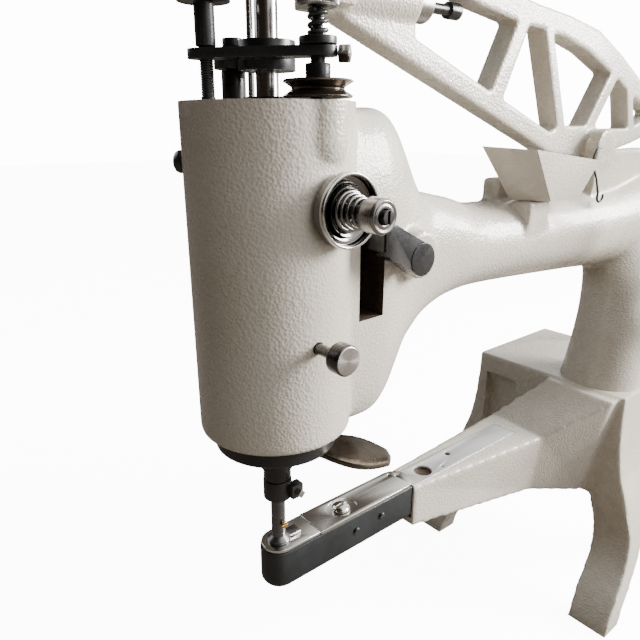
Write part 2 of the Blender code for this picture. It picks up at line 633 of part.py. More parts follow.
def crosshead(pivot):
    """Clamp block on the needle bar, with a cross pin that runs in the lever's fork."""
    block = place("crosshead", box((-8.0, -8.5, 222.0), (8.0, 8.5, 241.0)), BLACK, pivot)
    unite(block, rod(3.6, -15.5, 15.5, "Y", (0.0, CROSS_PIN_Z), 14))
    return cut(block, rod(BAR_RADIUS + GAP, 200.0, 260.0, "Z", (0.0, 0.0), 20))


def lifter(pivot):
    """Black bell crank: its inner arm lifts the presser tube's collar."""
    boss = place("lifter", rod(8.2, -44.4, -35.2, "Y", (LIFTER_X, LIFTER_Z), 20), BLACK, pivot)
    plate = prism([(LIFTER_X - 6, LIFTER_Z - 5.4), (LIFTER_X + 2, LIFTER_Z - 5), (LIFTER_X + 5, LIFTER_Z + 4),
                   (LIFTER_X + 2, LIFTER_Z + 7.8), (44.0, 109.0), (39.5, 111.5), (35.5, 111.0), (34.0, 107.0),
                   (34.0, 97.5), (37.0, 95.0), (44.0, 92.5)], -44.0, -36.0, "Y")
    inner = prism([(33.0, -42.0), (41.0, -42.0), (39.5, -5.0), (16.0, -5.0), (16.0, -11.0), (32.0, -11.0)],
                  99.5, 108.0, "Z")
    finger = box((14.0, -11.6, 101.5), (19.0, -4.4, COLLAR_Z - 1.3))
    stub = rod(4.0, -36.0, -24.0, "Y", (LIFTER_X, LIFTER_Z), 14)
    return unite(boss, plate, inner, stub, finger)


# --- thread tension --------------------------------------------------------------------------


def tension_stud():
    profile = [(0, -68.0), (3.0, -68.0), (3.0, -30.0), (0, -30.0)]
    stud = place("tension_stud", turned(profile, (TENSION_X, 0, TENSION_Z), "Y", 14), BLACK)
    return cut(stud, box((TENSION_X - 0.7, -80.0, TENSION_Z - 9), (TENSION_X + 0.7, -57.0, TENSION_Z + 9)))


def tension_cup(pivot):
    """Two facing discs in one turned cup, open to the front."""
    profile = [(3.4, -42.6), (14.6, -42.6), (14.6, -46.6), (16.0, -46.6), (16.0, -40.2), (14.0, -39.2), (3.4, -39.2)]
    return place("tension_cup", turned(profile, (TENSION_X, 0, TENSION_Z), "Y", 28, hollow=True), NICKEL, pivot)


def tension_spring(pivot):
    profile = [(3.5, -56.2), (5.2, -56.2), (9.6, -43.0), (3.5, -43.0)]
    return place("tension_spring", turned(profile, (TENSION_X, 0, TENSION_Z), "Y", 24, hollow=True), STEEL, pivot)


def tension_nut(pivot):
    profile = [(3.4, -66.0), (6.4, -66.0), (7.4, -65.0), (7.4, -58.0), (5.6, -56.6), (3.4, -56.6)]
    return place("tension_nut", turned(profile, (TENSION_X, 0, TENSION_Z), "Y", 24, hollow=True), STEEL, pivot)


def thumbscrew(pivot):
    profile = [(0, -58.6), (6.3, -58.6), (7.0, -57.8), (7.0, -51.6), (6.0, -50.6), (2.6, -50.6), (2.6, -34.5),
               (0, -34.5)]
    return place("thumbscrew", turned(profile, (THUMB_X, 0, THUMB_Z), "Y", 24), STEEL, pivot)


def post(name, at, profile, recipe=BLACK, segments=14, pivot=(0.0, 0.0, 0.0)):
    return place(name, turned(profile, (at[0], at[1], 0), "Z", segments), recipe, pivot)


def bridge_plate():
    """Bracket across the posts, with a round boss about the needle bar."""
    ends = (Vector(LEFT_POST), Vector(RIGHT_POST))
    along = (ends[1] - ends[0]).normalized()
    side = Vector((-along.y, along.x)) * 5.6
    outline = []
    for centre, start in ((ends[1] + along * 2.4, -math.pi / 2), (ends[0] - along * 2.4, math.pi / 2)):
        for i in range(7):
            angle = start + math.pi * i / 6
            outline.append(tuple(centre + along * (5.6 * math.cos(angle)) + side * math.sin(angle)))
    plate = place("bridge_plate", prism(outline, 181.0, 185.0, "Z"), BLACK)
    boss = rod(12.5, 177.0, 189.0, "Z", (0.0, 0.0), 24)
    shoulder = rod(8.5, 178.5, 186.5, "Z", SHORT_POST, 14)
    unite(plate, boss, shoulder)
    holes = [rod(3.0 + GAP, 160.0, 200.0, "Z", at, 12) for at in (LEFT_POST, SHORT_POST, RIGHT_POST)]
    return cut(plate, rod(BAR_RADIUS + GAP, 160.0, 200.0, "Z", (0.0, 0.0), 20), *holes)


def bridge_screw():
    """Square-headed screw that clamps the bridge to the right post."""
    along = (Vector(RIGHT_POST) - Vector(LEFT_POST)).normalized()
    made = turned([(0, 0.0), (3.6, 0.0), (3.6, 5.0), (0, 5.0)], (0, 0, 0), "X", 4)
    angle = math.atan2(along.y, along.x)
    bmesh.ops.rotate(made, cent=(0, 0, 0), matrix=Matrix.Rotation(angle, 3, "Z"), verts=made.verts)
    start = Vector(RIGHT_POST) + along * (8 + GAP)
    bmesh.ops.translate(made, vec=(start.x, start.y, 182.0), verts=made.verts)
    return place("bridge_screw", made, STEEL)


def thread_wheel(pivot):
    """V-groove tension wheel at the foot of the right post."""
    low = DRUM_TOP_Z + 0.8
    profile = [(3.3, low), (13.8, low), (14.6, low + 0.8), (10.8, low + 3.6), (14.6, low + 6.4), (13.8, low + 7.2),
               (3.3, low + 7.2)]
    return place("thread_wheel", turned(profile, (RIGHT_POST[0], RIGHT_POST[1], 0), "Z", 28, hollow=True),
                 BRONZE, pivot)


# --- lever -----------------------------------------------------------------------------------

LEVER_THICKNESS = 14.0
LEVER_OUTLINE = [(30.0, 241.0), (110.0, 236.5), (140.0, 231.0), (192.0, 224.0), (232.0, 221.0), (270.0, 216.0),
                 (306.0, 203.0), (343.0, 187.0), (402.0, 172.0), (409.0, 163.0), (404.0, 154.5),
                 (340.0, 140.5), (PIVOT_X, 130.0), (222.0, 137.0), (40.0, 200.0), (29.0, 208.0)]
LEVER_WINDOWS = [
    [(87.1, 226.5), (138.0, 216.6), (173.5, 212.0), (153.0, 173.5), (87.1, 196.5)],
    [(186.5, 211.0), (203.0, 210.0), (229.0, 153.0), (222.0, 150.2), (166.0, 169.5)],
    [(214.0, 209.0), (228.0, 207.6), (258.0, 201.5), (293.0, 189.8), (266.5, 154.0), (240.0, 154.0)],
    [(304.5, 186.0), (320.5, 179.0), (331.0, 152.0), (286.0, 152.0), (280.5, 154.0)],
    [(333.0, 175.0), (372.0, 163.5), (341.5, 154.0)],
]


def needle_lever(pivot):
    """Cast truss lever from the needle bar's crosshead to the crank rod."""
    half = LEVER_THICKNESS / 2
    lever = place("needle_lever", prism(LEVER_OUTLINE, -half, half, "Y"), PAINT, pivot)
    hub = rod(12.0, -LUG_INNER_Y + GAP, LUG_INNER_Y - GAP, "Y", (PIVOT_X, PIVOT_Z), 16)
    tail = rod(9.4, 0.9, 7.6, "Y", (SHAFT_X, TAIL_Z), 14)
    tube_boss = rod(11.5, 28.0, 87.0, "X", (0.0, 213.0), 16)
    head_block = box((26.0, -14.8, 205.0), (40.0, 14.8, 242.0))
    fork = [box((-4.0, low, 222.0), (30.0, low + 5.3, 241.4)) for low in (-14.4, 9.1)]
    cut(lever, *(prism(window, -20.0, 20.0, "Y") for window in LEVER_WINDOWS))
    unite(lever, hub, tube_boss, head_block, *fork)
    slot = box((-10.0, -20.0, CROSS_PIN_Z - 4.2), (14.0, 20.0, CROSS_PIN_Z + 4.2))
    rod_space = box((386.0, -20.0, 140.0), (430.0, 0.5, 190.0))
    tail_hole = rod(4.0 + GAP, -20.0, 20.0, "Y", (SHAFT_X, TAIL_Z), 12)
    pivot_hole = rod(6.0 + GAP, -30.0, 30.0, "Y", (PIVOT_X, PIVOT_Z), 14)
    bolt_hole = rod(4.5 + GAP, 60.0, 100.0, "X", (0.0, 213.0), 12)
    cut(lever, slot, rod_space)
    unite(lever, tail)
    return cut(lever, tail_hole, pivot_hole, bolt_hole)


def lever_nut(pivot):
    return place("lever_nut", turned([(4.5 + GAP, 87.4), (8.6, 87.4), (8.6, 98.5), (4.5 + GAP, 98.5)],
                                     (0, 0, 213.0), "X", 20, hollow=True), STEEL, pivot)


def lever_bolt(pivot):
    profile = [(0, 62.0), (4.4, 62.0), (4.4, 98.0), (2.8, 98.6), (2.8, 117.0), (4.3, 117.4), (4.3, 126.0), (0, 126.0)]
    return place("lever_bolt", turned(profile, (0, 0, 213.0), "X", 16), BLACK, pivot)


def pivot_pin():
    profile = [(0, -15.0), (6.0, -15.0), (6.0, 20.4), (8.5, 20.4), (8.5, 23.0), (0, 23.0)]
    return place("pivot_pin", turned(profile, (PIVOT_X, 0, PIVOT_Z), "Y", 20), STEEL)


def tail_pin(pivot):
    profile = [(0, -10.5), (6.0, -10.5), (6.0, -8.0), (4.0, -8.0), (4.0, 10.0), (0, 10.0)]
    return place("tail_pin", turned(profile, (SHAFT_X, 0, TAIL_Z), "Y", 16), STEEL, pivot)


# --- main shaft and hand wheel ---------------------------------------------------------------


def main_shaft(pivot):
    """Shaft with an overhung crank disc; its pin stops short of the two rods."""
    shaft = place("main_shaft", rod(SHAFT_RADIUS, -98.0, -20.0, "Y", (SHAFT_X, SHAFT_Z), 24), STEEL, pivot)
    disc = rod(14.0, -27.0, -16.0, "Y", (SHAFT_X, SHAFT_Z), 24)
    pin = rod(3.6, -18.0, -8.6, "Y", (SHAFT_X, CRANK_PIN_Z), 14)
    return unite(shaft, disc, pin)


def hand_wheel(pivot):
    """Rim, three spokes and a long hub."""
    centre = (SHAFT_X, SHAFT_Z)
    rim_profile = [(WHEEL_RADIUS + WHEEL_RIM_RADIUS * math.cos(a), WHEEL_Y + WHEEL_RIM_RADIUS * math.sin(a))
                   for a in (2 * math.pi * k / 8 for k in range(8))]
    rim = turned(rim_profile, (SHAFT_X, 0, SHAFT_Z), "Y", 36, hollow=True)
    wheel = place("hand_wheel", rim, PAINT, pivot)
    spokes = []
    for k in range(3):
        angle = GRIP_ANGLE + 2 * math.pi * k / 3
        tip = (SHAFT_X + WHEEL_RADIUS * math.cos(angle), SHAFT_Z + WHEEL_RADIUS * math.sin(angle))
        spoke = strut(centre, tip, 15.0, 9.0)
        bmesh.ops.translate(spoke, vec=(0, WHEEL_Y, 0), verts=spoke.verts)
        spokes.append(spoke)
    hub = rod(17.0, -93.0, -66.0, "Y", centre, 32)
    grip_boss = rod(9.0, WHEEL_Y - 7.5, WHEEL_Y + 6.0, "Y", grip_centre())
    unite(wheel, *spokes, hub, grip_boss)
    return cut(wheel, rod(SHAFT_RADIUS + 0.35, -120.0, -50.0, "Y", centre, 32),
               rod(4.0 + GAP, -120.0, -50.0, "Y", grip_centre()))


def grip_centre():
    return (SHAFT_X + GRIP_ORBIT * math.cos(GRIP_ANGLE), SHAFT_Z + GRIP_ORBIT * math.sin(GRIP_ANGLE))


def shaft_nut(pivot):
    bore = (SHAFT_RADIUS + GAP) / math.cos(math.radians(30))
    profile = [(bore, -100.0), (12.0, -100.0), (12.0, -93.4), (bore, -93.4)]
    return place("shaft_nut", turned(profile, (SHAFT_X, 0, SHAFT_Z), "Y", 6, hollow=True), STEEL, pivot)


def grip_bolt(pivot):
    x, z = grip_centre()
    profile = [(0, -150.0), (6.5, -150.0), (6.5, -147.0), (4.0, -147.0), (4.0, -76.0), (0, -76.0)]
    return place("grip_bolt", turned(profile, (x, 0, z), "Y", 14), STEEL, pivot)


def crank_grip(pivot):
    x, z = grip_centre()
    inner = 4.0 + GAP
    profile = [(inner, -146.6), (9.0, -146.6), (11.4, -142.0), (12.4, -128.0), (10.6, -108.0), (9.0, -98.0),
               (10.0, -92.2), (inner, -92.2)]
    return place("crank_grip", turned(profile, (x, 0, z), "Y", 20, hollow=True), GRIP_PLASTIC, pivot)


# --- tray and hook ---------------------------------------------------------------------------


def tray():
    """Open trapezoid box for tools and bobbins, beside the lever."""
    top = [(144.0, -10.0, 143.0), (161.0, -36.0, 141.1), (240.0, -34.0, 132.4), (236.0, -10.0, 132.9)]
    foot = [(174.6, -12.0, 109.7), (187.0, -33.0, 109.7), (222.0, -32.4, 109.7), (218.3, -12.0, 109.7)]

    def level(t, inset, lift=0.0):
        corners = [Vector(a).lerp(Vector(b), t) for a, b in zip(top, foot)]
        middle = sum(corners, Vector((0, 0, 0))) / 4
        ring = []
        for corner in corners:
            towards = middle - corner
            ring.append((corner.x + math.copysign(inset, towards.x), corner.y + math.copysign(inset, towards.y),
                         corner.z + lift))
        return ring

    made = place("tray", lofted([level(1.0, 0.0), level(0.0, 0.0)]), PAINT)
    return cut(made, lofted([level(1.0, 2.4, 2.5), level(0.0, 2.4), level(-0.2, 2.4)]))


def tray_screw():
    profile = [(0, 112.7), (3.4, 112.7), (3.4, 114.6), (2.6, 115.4), (0, 115.4)]
    return place("tray_screw", turned(profile, (192.0, -20.0, 0), "Z", 12), STEEL)


def wire_hook():
    """Small hanging thread hook on the near lug."""
    y = -LUG_OUTER_Y - 1.3
    curl = [(259.0 + 4.0 * math.cos(a), y - 6.5, 107.5 + 4.0 * math.sin(a))
            for a in (math.radians(d) for d in range(150, 400, 25))]
    points = [(264.5, y, 139.5), (259.5, y, 138.5), (256.0, y, 133.0), (256.5, y - 1.0, 126.0),
              (256.0, y - 4.0, 119.0), (255.2, y - 6.0, 112.5)] + curl
    return place("wire_hook", swept(points, 0.8, 6), BLACK)


# --- assembly --------------------------------------------------------------------------------


def build():
    needle_axis = (0.0, 0.0, 0.0)
    shuttle = (SHUTTLE_X, 0.0, 0.0)
    tension = (TENSION_X, 0.0, TENSION_Z)
    pivot = (PIVOT_X, 0.0, PIVOT_Z)
    shaft = (SHAFT_X, 0.0, SHAFT_Z)
    rocker = (ROCKER_X, 0.0, ROCKER_Z)
    foot_x, foot_z = link_foot()
    grip_x, grip_z = grip_centre()

    bed_casting()
    slide_plate()
    nose_housing()
    needle_plate()
    nose_screw("nose_screw_front", 49.6, -78.0)
    nose_screw("nose_screw_rear", 70.7, -77.0)
    nose_cover(needle_axis)
    cover_knob(needle_axis)
    shuttle_hook(shuttle)
    bobbin(shuttle)
    shuttle_rack(needle_axis)
    rack_rocker(rocker)
    rocker_pin()
    crank_link("shuttle_link", (SHAFT_X, CRANK_PIN_Z), link_foot(), 0.5, 7.5, 3.0 + GAP, 4.0,
               (foot_x, 0.0, foot_z))

    arm_casting()
    bar_bushing()
    side_plug()
    direction_ring(needle_axis)
    ring_handle(needle_axis)
    presser_tube(needle_axis)
    presser_spring(needle_axis)
    foot_clamp(needle_axis)
    clamp_screw(needle_axis)
    presser_foot(needle_axis)
    foot_screw(needle_axis)
    needle_bar(needle_axis)
    needle(needle_axis)
    crosshead(needle_axis)
    lifter((LIFTER_X, 0.0, LIFTER_Z))

    tension_stud()
    tension_cup(tension)
    tension_spring(tension)
    tension_nut(tension)
    thumbscrew((THUMB_X, 0.0, THUMB_Z))

    post("left_post", LEFT_POST, [(0, 156.0), (3.0, 156.0), (3.0, 186.0), (4.2, 186.0), (4.2, 202.0),
                                  (11.0, 202.6), (11.0, 205.6), (4.2, 206.2), (4.2, 216.0), (0, 216.0)])
    post("short_post", SHORT_POST, [(0, 156.0), (3.0, 156.0), (3.0, 164.9), (5.4, 164.9), (5.4, 178.0),
                                    (3.0, 178.0), (3.0, 187.2), (4.4, 187.2), (4.4, 191.4), (0, 191.4)])
    post("guide_rod", GUIDE_ROD, [(0, 159.0), (1.5, 159.0), (1.5, 222.0), (0, 222.0)], STEEL, 12)
    post("right_post", RIGHT_POST, [(0, 156.0), (3.0, 156.0), (3.0, 173.0), (5.1, 173.0), (5.1, 178.5),
                                    (3.0, 178.5), (3.0, 185.4), (7.7, 185.4), (7.7, 188.4), (2.2, 188.8),
                                    (2.2, 213.0), (0, 213.0)])
    place("post_spring", tube(2.6, 4.1, 188.8, 198.6, "Z", RIGHT_POST, 14), BLACK)
    place("post_nut", tube(2.6, 8.2, 199.0, 207.5, "Z", RIGHT_POST, 24), STEEL,
          (RIGHT_POST[0], RIGHT_POST[1], 0.0))
    bridge_plate()
    bridge_screw()
    thread_wheel((RIGHT_POST[0], RIGHT_POST[1], 0.0))

    needle_lever(pivot)
    lever_nut(pivot)
    lever_bolt(pivot)
    pivot_pin()
    tail_pin(pivot)
    crank_link("needle_rod", (SHAFT_X, TAIL_Z), (SHAFT_X, CRANK_PIN_Z), -7.5, -0.5, 4.0, 4.0 + GAP,
               (SHAFT_X, 0.0, TAIL_Z))
    main_shaft(shaft)
    hand_wheel(shaft)
    shaft_nut(shaft)
    grip_bolt(shaft)
    crank_grip((grip_x, 0.0, grip_z))

    tray()
    tray_screw()
    wire_hook()


for old in list(bpy.data.objects):
    bpy.data.objects.remove(old, do_unlink=True)
build()
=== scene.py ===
"""Looks of a hand-cranked leather sewing machine, built round its CAD frame."""

import json
import math

import bmesh
import bpy
from mathutils import Matrix, Vector


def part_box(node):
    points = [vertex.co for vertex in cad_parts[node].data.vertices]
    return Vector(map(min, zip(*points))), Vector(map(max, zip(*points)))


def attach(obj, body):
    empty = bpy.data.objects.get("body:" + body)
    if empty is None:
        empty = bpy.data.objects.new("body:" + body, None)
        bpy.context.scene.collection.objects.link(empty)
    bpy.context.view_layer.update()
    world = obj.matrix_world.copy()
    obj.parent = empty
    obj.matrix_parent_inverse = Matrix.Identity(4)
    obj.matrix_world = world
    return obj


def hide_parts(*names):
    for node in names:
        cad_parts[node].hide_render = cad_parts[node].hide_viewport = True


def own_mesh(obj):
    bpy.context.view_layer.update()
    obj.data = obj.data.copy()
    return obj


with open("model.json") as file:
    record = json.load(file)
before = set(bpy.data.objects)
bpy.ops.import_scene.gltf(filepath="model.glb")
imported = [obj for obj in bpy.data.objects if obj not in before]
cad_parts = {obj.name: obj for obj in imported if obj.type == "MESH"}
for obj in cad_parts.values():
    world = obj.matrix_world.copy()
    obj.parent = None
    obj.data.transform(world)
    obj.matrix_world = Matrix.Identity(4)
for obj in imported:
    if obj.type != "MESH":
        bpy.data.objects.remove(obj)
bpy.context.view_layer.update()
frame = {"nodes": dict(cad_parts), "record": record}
NODES = frame["nodes"]
BODY_OF = {node: body for body, nodes in frame["record"]["behaviour"]["bodies"].items() for node in nodes}
MM = 0.001

# Every shape below is written in millimetres from the needle's axis. Height 0 lies a fixed
# way above the slide plate's top, near the mouth of the head.
BED_TOP = -68.3
NEEDLE_LOW, NEEDLE_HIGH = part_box("needle")
ORIGIN = Vector(((NEEDLE_LOW.x + NEEDLE_HIGH.x) / 2, (NEEDLE_LOW.y + NEEDLE_HIGH.y) / 2,
                 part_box("slide_plate")[1].z)) / MM - Vector((0.0, 0.0, BED_TOP))


def centre_of(node):
    """A node's middle, in this script's millimetres."""
    low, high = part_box(node)
    return (low + high) / (2 * MM) - ORIGIN


# Driving places, read from the frame
PIVOT = centre_of("pivot_pin")
SHAFT = centre_of("main_shaft")
TENSION = centre_of("tension_cup")
THUMB = centre_of("thumbscrew")
LEFT_POST = centre_of("left_post")
SHORT_POST = centre_of("short_post")
RIGHT_POST = centre_of("right_post")
TAIL = centre_of("tail_pin")
ROCKER = centre_of("rocker_pin")
GRIP = centre_of("crank_grip")
HOOK = centre_of("shuttle_hook")
WHEEL_Y = -84.0
BLOCK_MID_X = 320.0
FLOOR_Z = -212.0


# --- camera, floor and light -----------------------------------------------------------------

EYE = Vector((-160.6, -232.6, 155.3))
YAW, PITCH = math.radians(39.3), math.radians(-18.1)
LENS, SENSOR = 33.75, 36.0


def row(point):
    return (Vector(point) + ORIGIN) * MM


def add_camera():
    data = bpy.data.cameras.new("camera")
    data.lens = LENS
    data.sensor_width = SENSOR
    data.clip_start = 0.01
    camera = bpy.data.objects.new("camera", data)
    camera.location = row(EYE)
    gaze = Vector((math.sin(YAW) * math.cos(PITCH), math.cos(YAW) * math.cos(PITCH), math.sin(PITCH)))
    camera.rotation_euler = gaze.to_track_quat("-Z", "Y").to_euler()
    bpy.context.collection.objects.link(camera)
    bpy.context.scene.camera = camera


def add_area_light(name, place, aim, size, power, colour):
    data = bpy.data.lights.new(name, "AREA")
    data.shape = "RECTANGLE"
    data.size, data.size_y = size
    data.energy = power
    data.color = colour
    light = bpy.data.objects.new(name, data)
    light.location = place
    light.rotation_euler = (Vector(aim) - Vector(place)).to_track_quat("-Z", "Y").to_euler()
    bpy.context.collection.objects.link(light)


SKY_AXIS = (0.76, -0.50, 0.42)  # towards the bright side of the room
SKY_STOPS = ((0.46, (0.036, 0.027, 0.020)), (0.68, (0.14, 0.12, 0.10)), (0.84, (2.3, 2.3, 2.28)))
SEEN_WHITE = 14.0  # what the lens sees behind the machine
FLOOR_GLOW = 11.0  # what the lens sees of the floor
FLOOR_HALF, FLOOR_DROP = 6.0, 0.0005


def add_world():
    """A room that is brown and dim on one side and bright on the other."""
    world = bpy.data.worlds.new("room")
    bpy.context.scene.world = world
    world.use_nodes = True
    nodes, links = world.node_tree.nodes, world.node_tree.links
    nodes.clear()
    coordinates = nodes.new("ShaderNodeTexCoord")
    facing = nodes.new("ShaderNodeVectorMath")
    facing.operation = "DOT_PRODUCT"
    facing.inputs[1].default_value = SKY_AXIS
    shift = nodes.new("ShaderNodeMath")
    shift.operation = "MULTIPLY_ADD"
    shift.inputs[1].default_value = 0.5
    shift.inputs[2].default_value = 0.5
    ramp = nodes.new("ShaderNodeValToRGB")
    ramp.color_ramp.elements.new(SKY_STOPS[1][0])
    for stop, (position, colour) in zip(ramp.color_ramp.elements, SKY_STOPS):
        stop.position = position
        stop.color = (*colour, 1)
    room = nodes.new("ShaderNodeBackground")
    seen = nodes.new("ShaderNodeBackground")
    seen.inputs["Color"].default_value = (SEEN_WHITE, SEEN_WHITE, SEEN_WHITE, 1)
    path = nodes.new("ShaderNodeLightPath")
    mix = nodes.new("ShaderNodeMixShader")
    output = nodes.new("ShaderNodeOutputWorld")
    links.new(coordinates.outputs["Generated"], facing.inputs[0])
    links.new(facing.outputs["Value"], shift.inputs[0])
    links.new(shift.outputs[0], ramp.inputs[0])
    links.new(ramp.outputs[0], room.inputs["Color"])
    links.new(path.outputs["Is Camera Ray"], mix.inputs[0])
    links.new(room.outputs[0], mix.inputs[1])
    links.new(seen.outputs[0], mix.inputs[2])
    links.new(mix.outputs[0], output.inputs[0])


def add_floor():
    """A floor that looks white to the lens and is dim and brown to the machine above it."""
    bm = bmesh.new()
    bmesh.ops.create_grid(bm, x_segments=1, y_segments=1, size=FLOOR_HALF)
    mesh = bpy.data.meshes.new("floor")
    bm.to_mesh(mesh)
    bm.free()
    floor = bpy.data.objects.new("floor", mesh)
    floor.location = (0.0, 0.0, -FLOOR_DROP)
    bpy.context.collection.objects.link(floor)
    shade = bpy.data.materials.new("floor")
    shade.use_nodes = True
    nodes, links = shade.node_tree.nodes, shade.node_tree.links
    dim = nodes["Principled BSDF"]
    dim.inputs["Base Color"].default_value = (0.13, 0.11, 0.09, 1)
    dim.inputs["Roughness"].default_value = 0.9
    pale = nodes.new("ShaderNodeBsdfPrincipled")
    pale.inputs["Base Color"].default_value = (0.85, 0.85, 0.85, 1)
    pale.inputs["Roughness"].default_value = 0.9
    pale.inputs["Emission Color"].default_value = (1, 1, 1, 1)
    pale.inputs["Emission Strength"].default_value = FLOOR_GLOW
    path = nodes.new("ShaderNodeLightPath")
    mix = nodes.new("ShaderNodeMixShader")
    links.new(path.outputs["Is Camera Ray"], mix.inputs[0])
    links.new(dim.outputs[0], mix.inputs[1])
    links.new(pale.outputs[0], mix.inputs[2])
    links.new(mix.outputs[0], nodes["Material Output"].inputs["Surface"])
    mesh.materials.append(shade)


# --- materials -------------------------------------------------------------------------------


class Shader:
    """A Principled material and the few nodes that this script wires into it."""

    def __init__(self, name, colour, metallic, roughness, coat=0.0):
        self.material = bpy.data.materials.new(name)
        self.material.use_nodes = True
        self.nodes = self.material.node_tree.nodes
        self.links = self.material.node_tree.links
        self.shader = self.nodes["Principled BSDF"]
        self.shader.inputs["Base Color"].default_value = (*colour, 1)
        self.shader.inputs["Metallic"].default_value = metallic
        self.shader.inputs["Roughness"].default_value = roughness
        self.shader.inputs["Coat Weight"].default_value = coat
        self.shader.inputs["Coat Roughness"].default_value = 0.12
        self.coordinates = self.nodes.new("ShaderNodeTexCoord").outputs["Object"]
        self.bumps = None

    def noise(self, scale, detail=2.0, stretch=(1.0, 1.0, 1.0), vector=None, rough=0.5):
        mapping = self.nodes.new("ShaderNodeMapping")
        mapping.inputs["Scale"].default_value = stretch
        self.links.new(vector or self.coordinates, mapping.inputs["Vector"])
        made = self.nodes.new("ShaderNodeTexNoise")
        made.inputs["Scale"].default_value = scale
        made.inputs["Detail"].default_value = detail
        made.inputs["Roughness"].default_value = rough
        self.links.new(mapping.outputs[0], made.inputs["Vector"])
        return made.outputs["Fac"]

    def cells(self, scale, smoothness=0.6):
        made = self.nodes.new("ShaderNodeTexVoronoi")
        made.feature = "SMOOTH_F1"
        made.inputs["Scale"].default_value = scale
        made.inputs["Smoothness"].default_value = smoothness
        self.links.new(self.coordinates, made.inputs["Vector"])
        return made.outputs["Distance"]

    def spread(self, value, low, high, from_low=0.3, from_high=0.7):
        made = self.nodes.new("ShaderNodeMapRange")
        made.inputs["From Min"].default_value = from_low
        made.inputs["From Max"].default_value = from_high
        made.inputs["To Min"].default_value = low
        made.inputs["To Max"].default_value = high
        self.links.new(value, made.inputs["Value"])
        return made.outputs[0]

    def tint(self, value, dark, light, start=0.3, end=0.7):
        ramp = self.nodes.new("ShaderNodeValToRGB")
        ramp.color_ramp.elements[0].position = start
        ramp.color_ramp.elements[0].color = (*dark, 1)
        ramp.color_ramp.elements[1].position = end
        ramp.color_ramp.elements[1].color = (*light, 1)
        self.links.new(value, ramp.inputs[0])
        return ramp.outputs[0]

    def rubbed_and_highlit_edges(self, colour, light, amount=0.5):
        """Lighter convex edges, from the mesh's own curvature: a painted edge highlight, and on the metals
        also rubbed wear.
        """
        edge = self.spread(self.nodes.new("ShaderNodeNewGeometry").outputs["Pointiness"], 0.0, amount, 0.53,
                           0.62)
        mix = self.nodes.new("ShaderNodeMix")
        mix.data_type = "RGBA"
        mix.inputs["B"].default_value = (*light, 1)
        self.links.new(edge, mix.inputs["Factor"])
        self.links.new(colour, mix.inputs["A"])
        return mix.outputs["Result"]

    def bump(self, height, strength, distance):
        made = self.nodes.new("ShaderNodeBump")
        made.inputs["Strength"].default_value = strength
        made.inputs["Distance"].default_value = distance
        self.links.new(height, made.inputs["Height"])
        if self.bumps:
            self.links.new(self.bumps, made.inputs["Normal"])
        self.bumps = made.outputs["Normal"]
        self.links.new(self.bumps, self.shader.inputs["Normal"])

    def set(self, socket, value):
        self.links.new(value, self.shader.inputs[socket])


def cream_paint(name="cream_paint", grain=1.0):
    """Thick cream paint over sand-cast iron: fine hammered dimples under a clear gloss."""
    paint = Shader(name, (0.62, 0.575, 0.50), 0.0, 0.28, 0.3)
    colour = paint.tint(paint.noise(22.0, 4.0), (0.575, 0.525, 0.445), (0.655, 0.615, 0.545))
    # Convex edges are painted lighter: a painted highlight along the paint's edges.
    paint.set("Base Color", paint.rubbed_and_highlit_edges(colour, (0.74, 0.71, 0.64), 0.35))
    paint.set("Roughness", paint.spread(paint.noise(90.0, 3.0), 0.20, 0.36))
    paint.bump(paint.noise(60.0, 2.0), 0.12 * grain, 0.0010)
    paint.bump(paint.cells(720.0), 0.42 * grain, 0.0006)
    paint.bump(paint.noise(1300.0, 2.0), 0.20, 0.0003)
    return paint.material


def blackened(name="black_steel", colour=(0.011, 0.011, 0.012), roughness=0.30):
    black = Shader(name, colour, 0.1, roughness, 0.1)
    shade = black.tint(black.noise(45.0, 4.0), tuple(c * 0.7 for c in colour),
                       tuple(c * 1.5 for c in colour))
    # Convex edges lighter: rubbed wear on the steel, and a painted edge highlight.
    black.set("Base Color", black.rubbed_and_highlit_edges(shade, (0.16, 0.155, 0.15), 0.35))
    black.set("Roughness", black.spread(black.noise(120.0, 3.0), roughness - 0.09, roughness + 0.12))
    black.bump(black.noise(420.0, 3.0), 0.16, 0.0004)
    return black.material


def dark_iron_and_shade():
    """Dark brown iron: for the faces inside the head's bore and slot, and as painted shade on the recess
    floor under the slide plate.
    """
    iron = Shader("dark_iron_and_shade", (0.075, 0.050, 0.034), 0.3, 0.55)
    iron.set("Base Color", iron.tint(iron.noise(70.0, 4.0), (0.045, 0.030, 0.021), (0.105, 0.072, 0.050)))
    iron.bump(iron.noise(500.0, 3.0), 0.3, 0.0005)
    return iron.material


def lathe_vector(metal, centre, axis):
    """Distance from the axis and place along it, so that noise runs in circles."""
    mapping = metal.nodes.new("ShaderNodeMapping")
    mapping.inputs["Location"].default_value = -row(centre)
    metal.links.new(metal.coordinates, mapping.inputs["Vector"])
    parts = metal.nodes.new("ShaderNodeSeparateXYZ")
    metal.links.new(mapping.outputs[0], parts.inputs[0])
    across = [parts.outputs[k] for k in "XYZ" if k != axis]
    flat = metal.nodes.new("ShaderNodeCombineXYZ")
    metal.links.new(across[0], flat.inputs[0])
    metal.links.new(across[1], flat.inputs[1])
    length = metal.nodes.new("ShaderNodeVectorMath")
    length.operation = "LENGTH"
    metal.links.new(flat.outputs[0], length.inputs[0])
    made = metal.nodes.new("ShaderNodeCombineXYZ")
    metal.links.new(length.outputs["Value"], made.inputs[0])
    metal.links.new(parts.outputs[axis], made.inputs[1])
    return made.outputs[0]


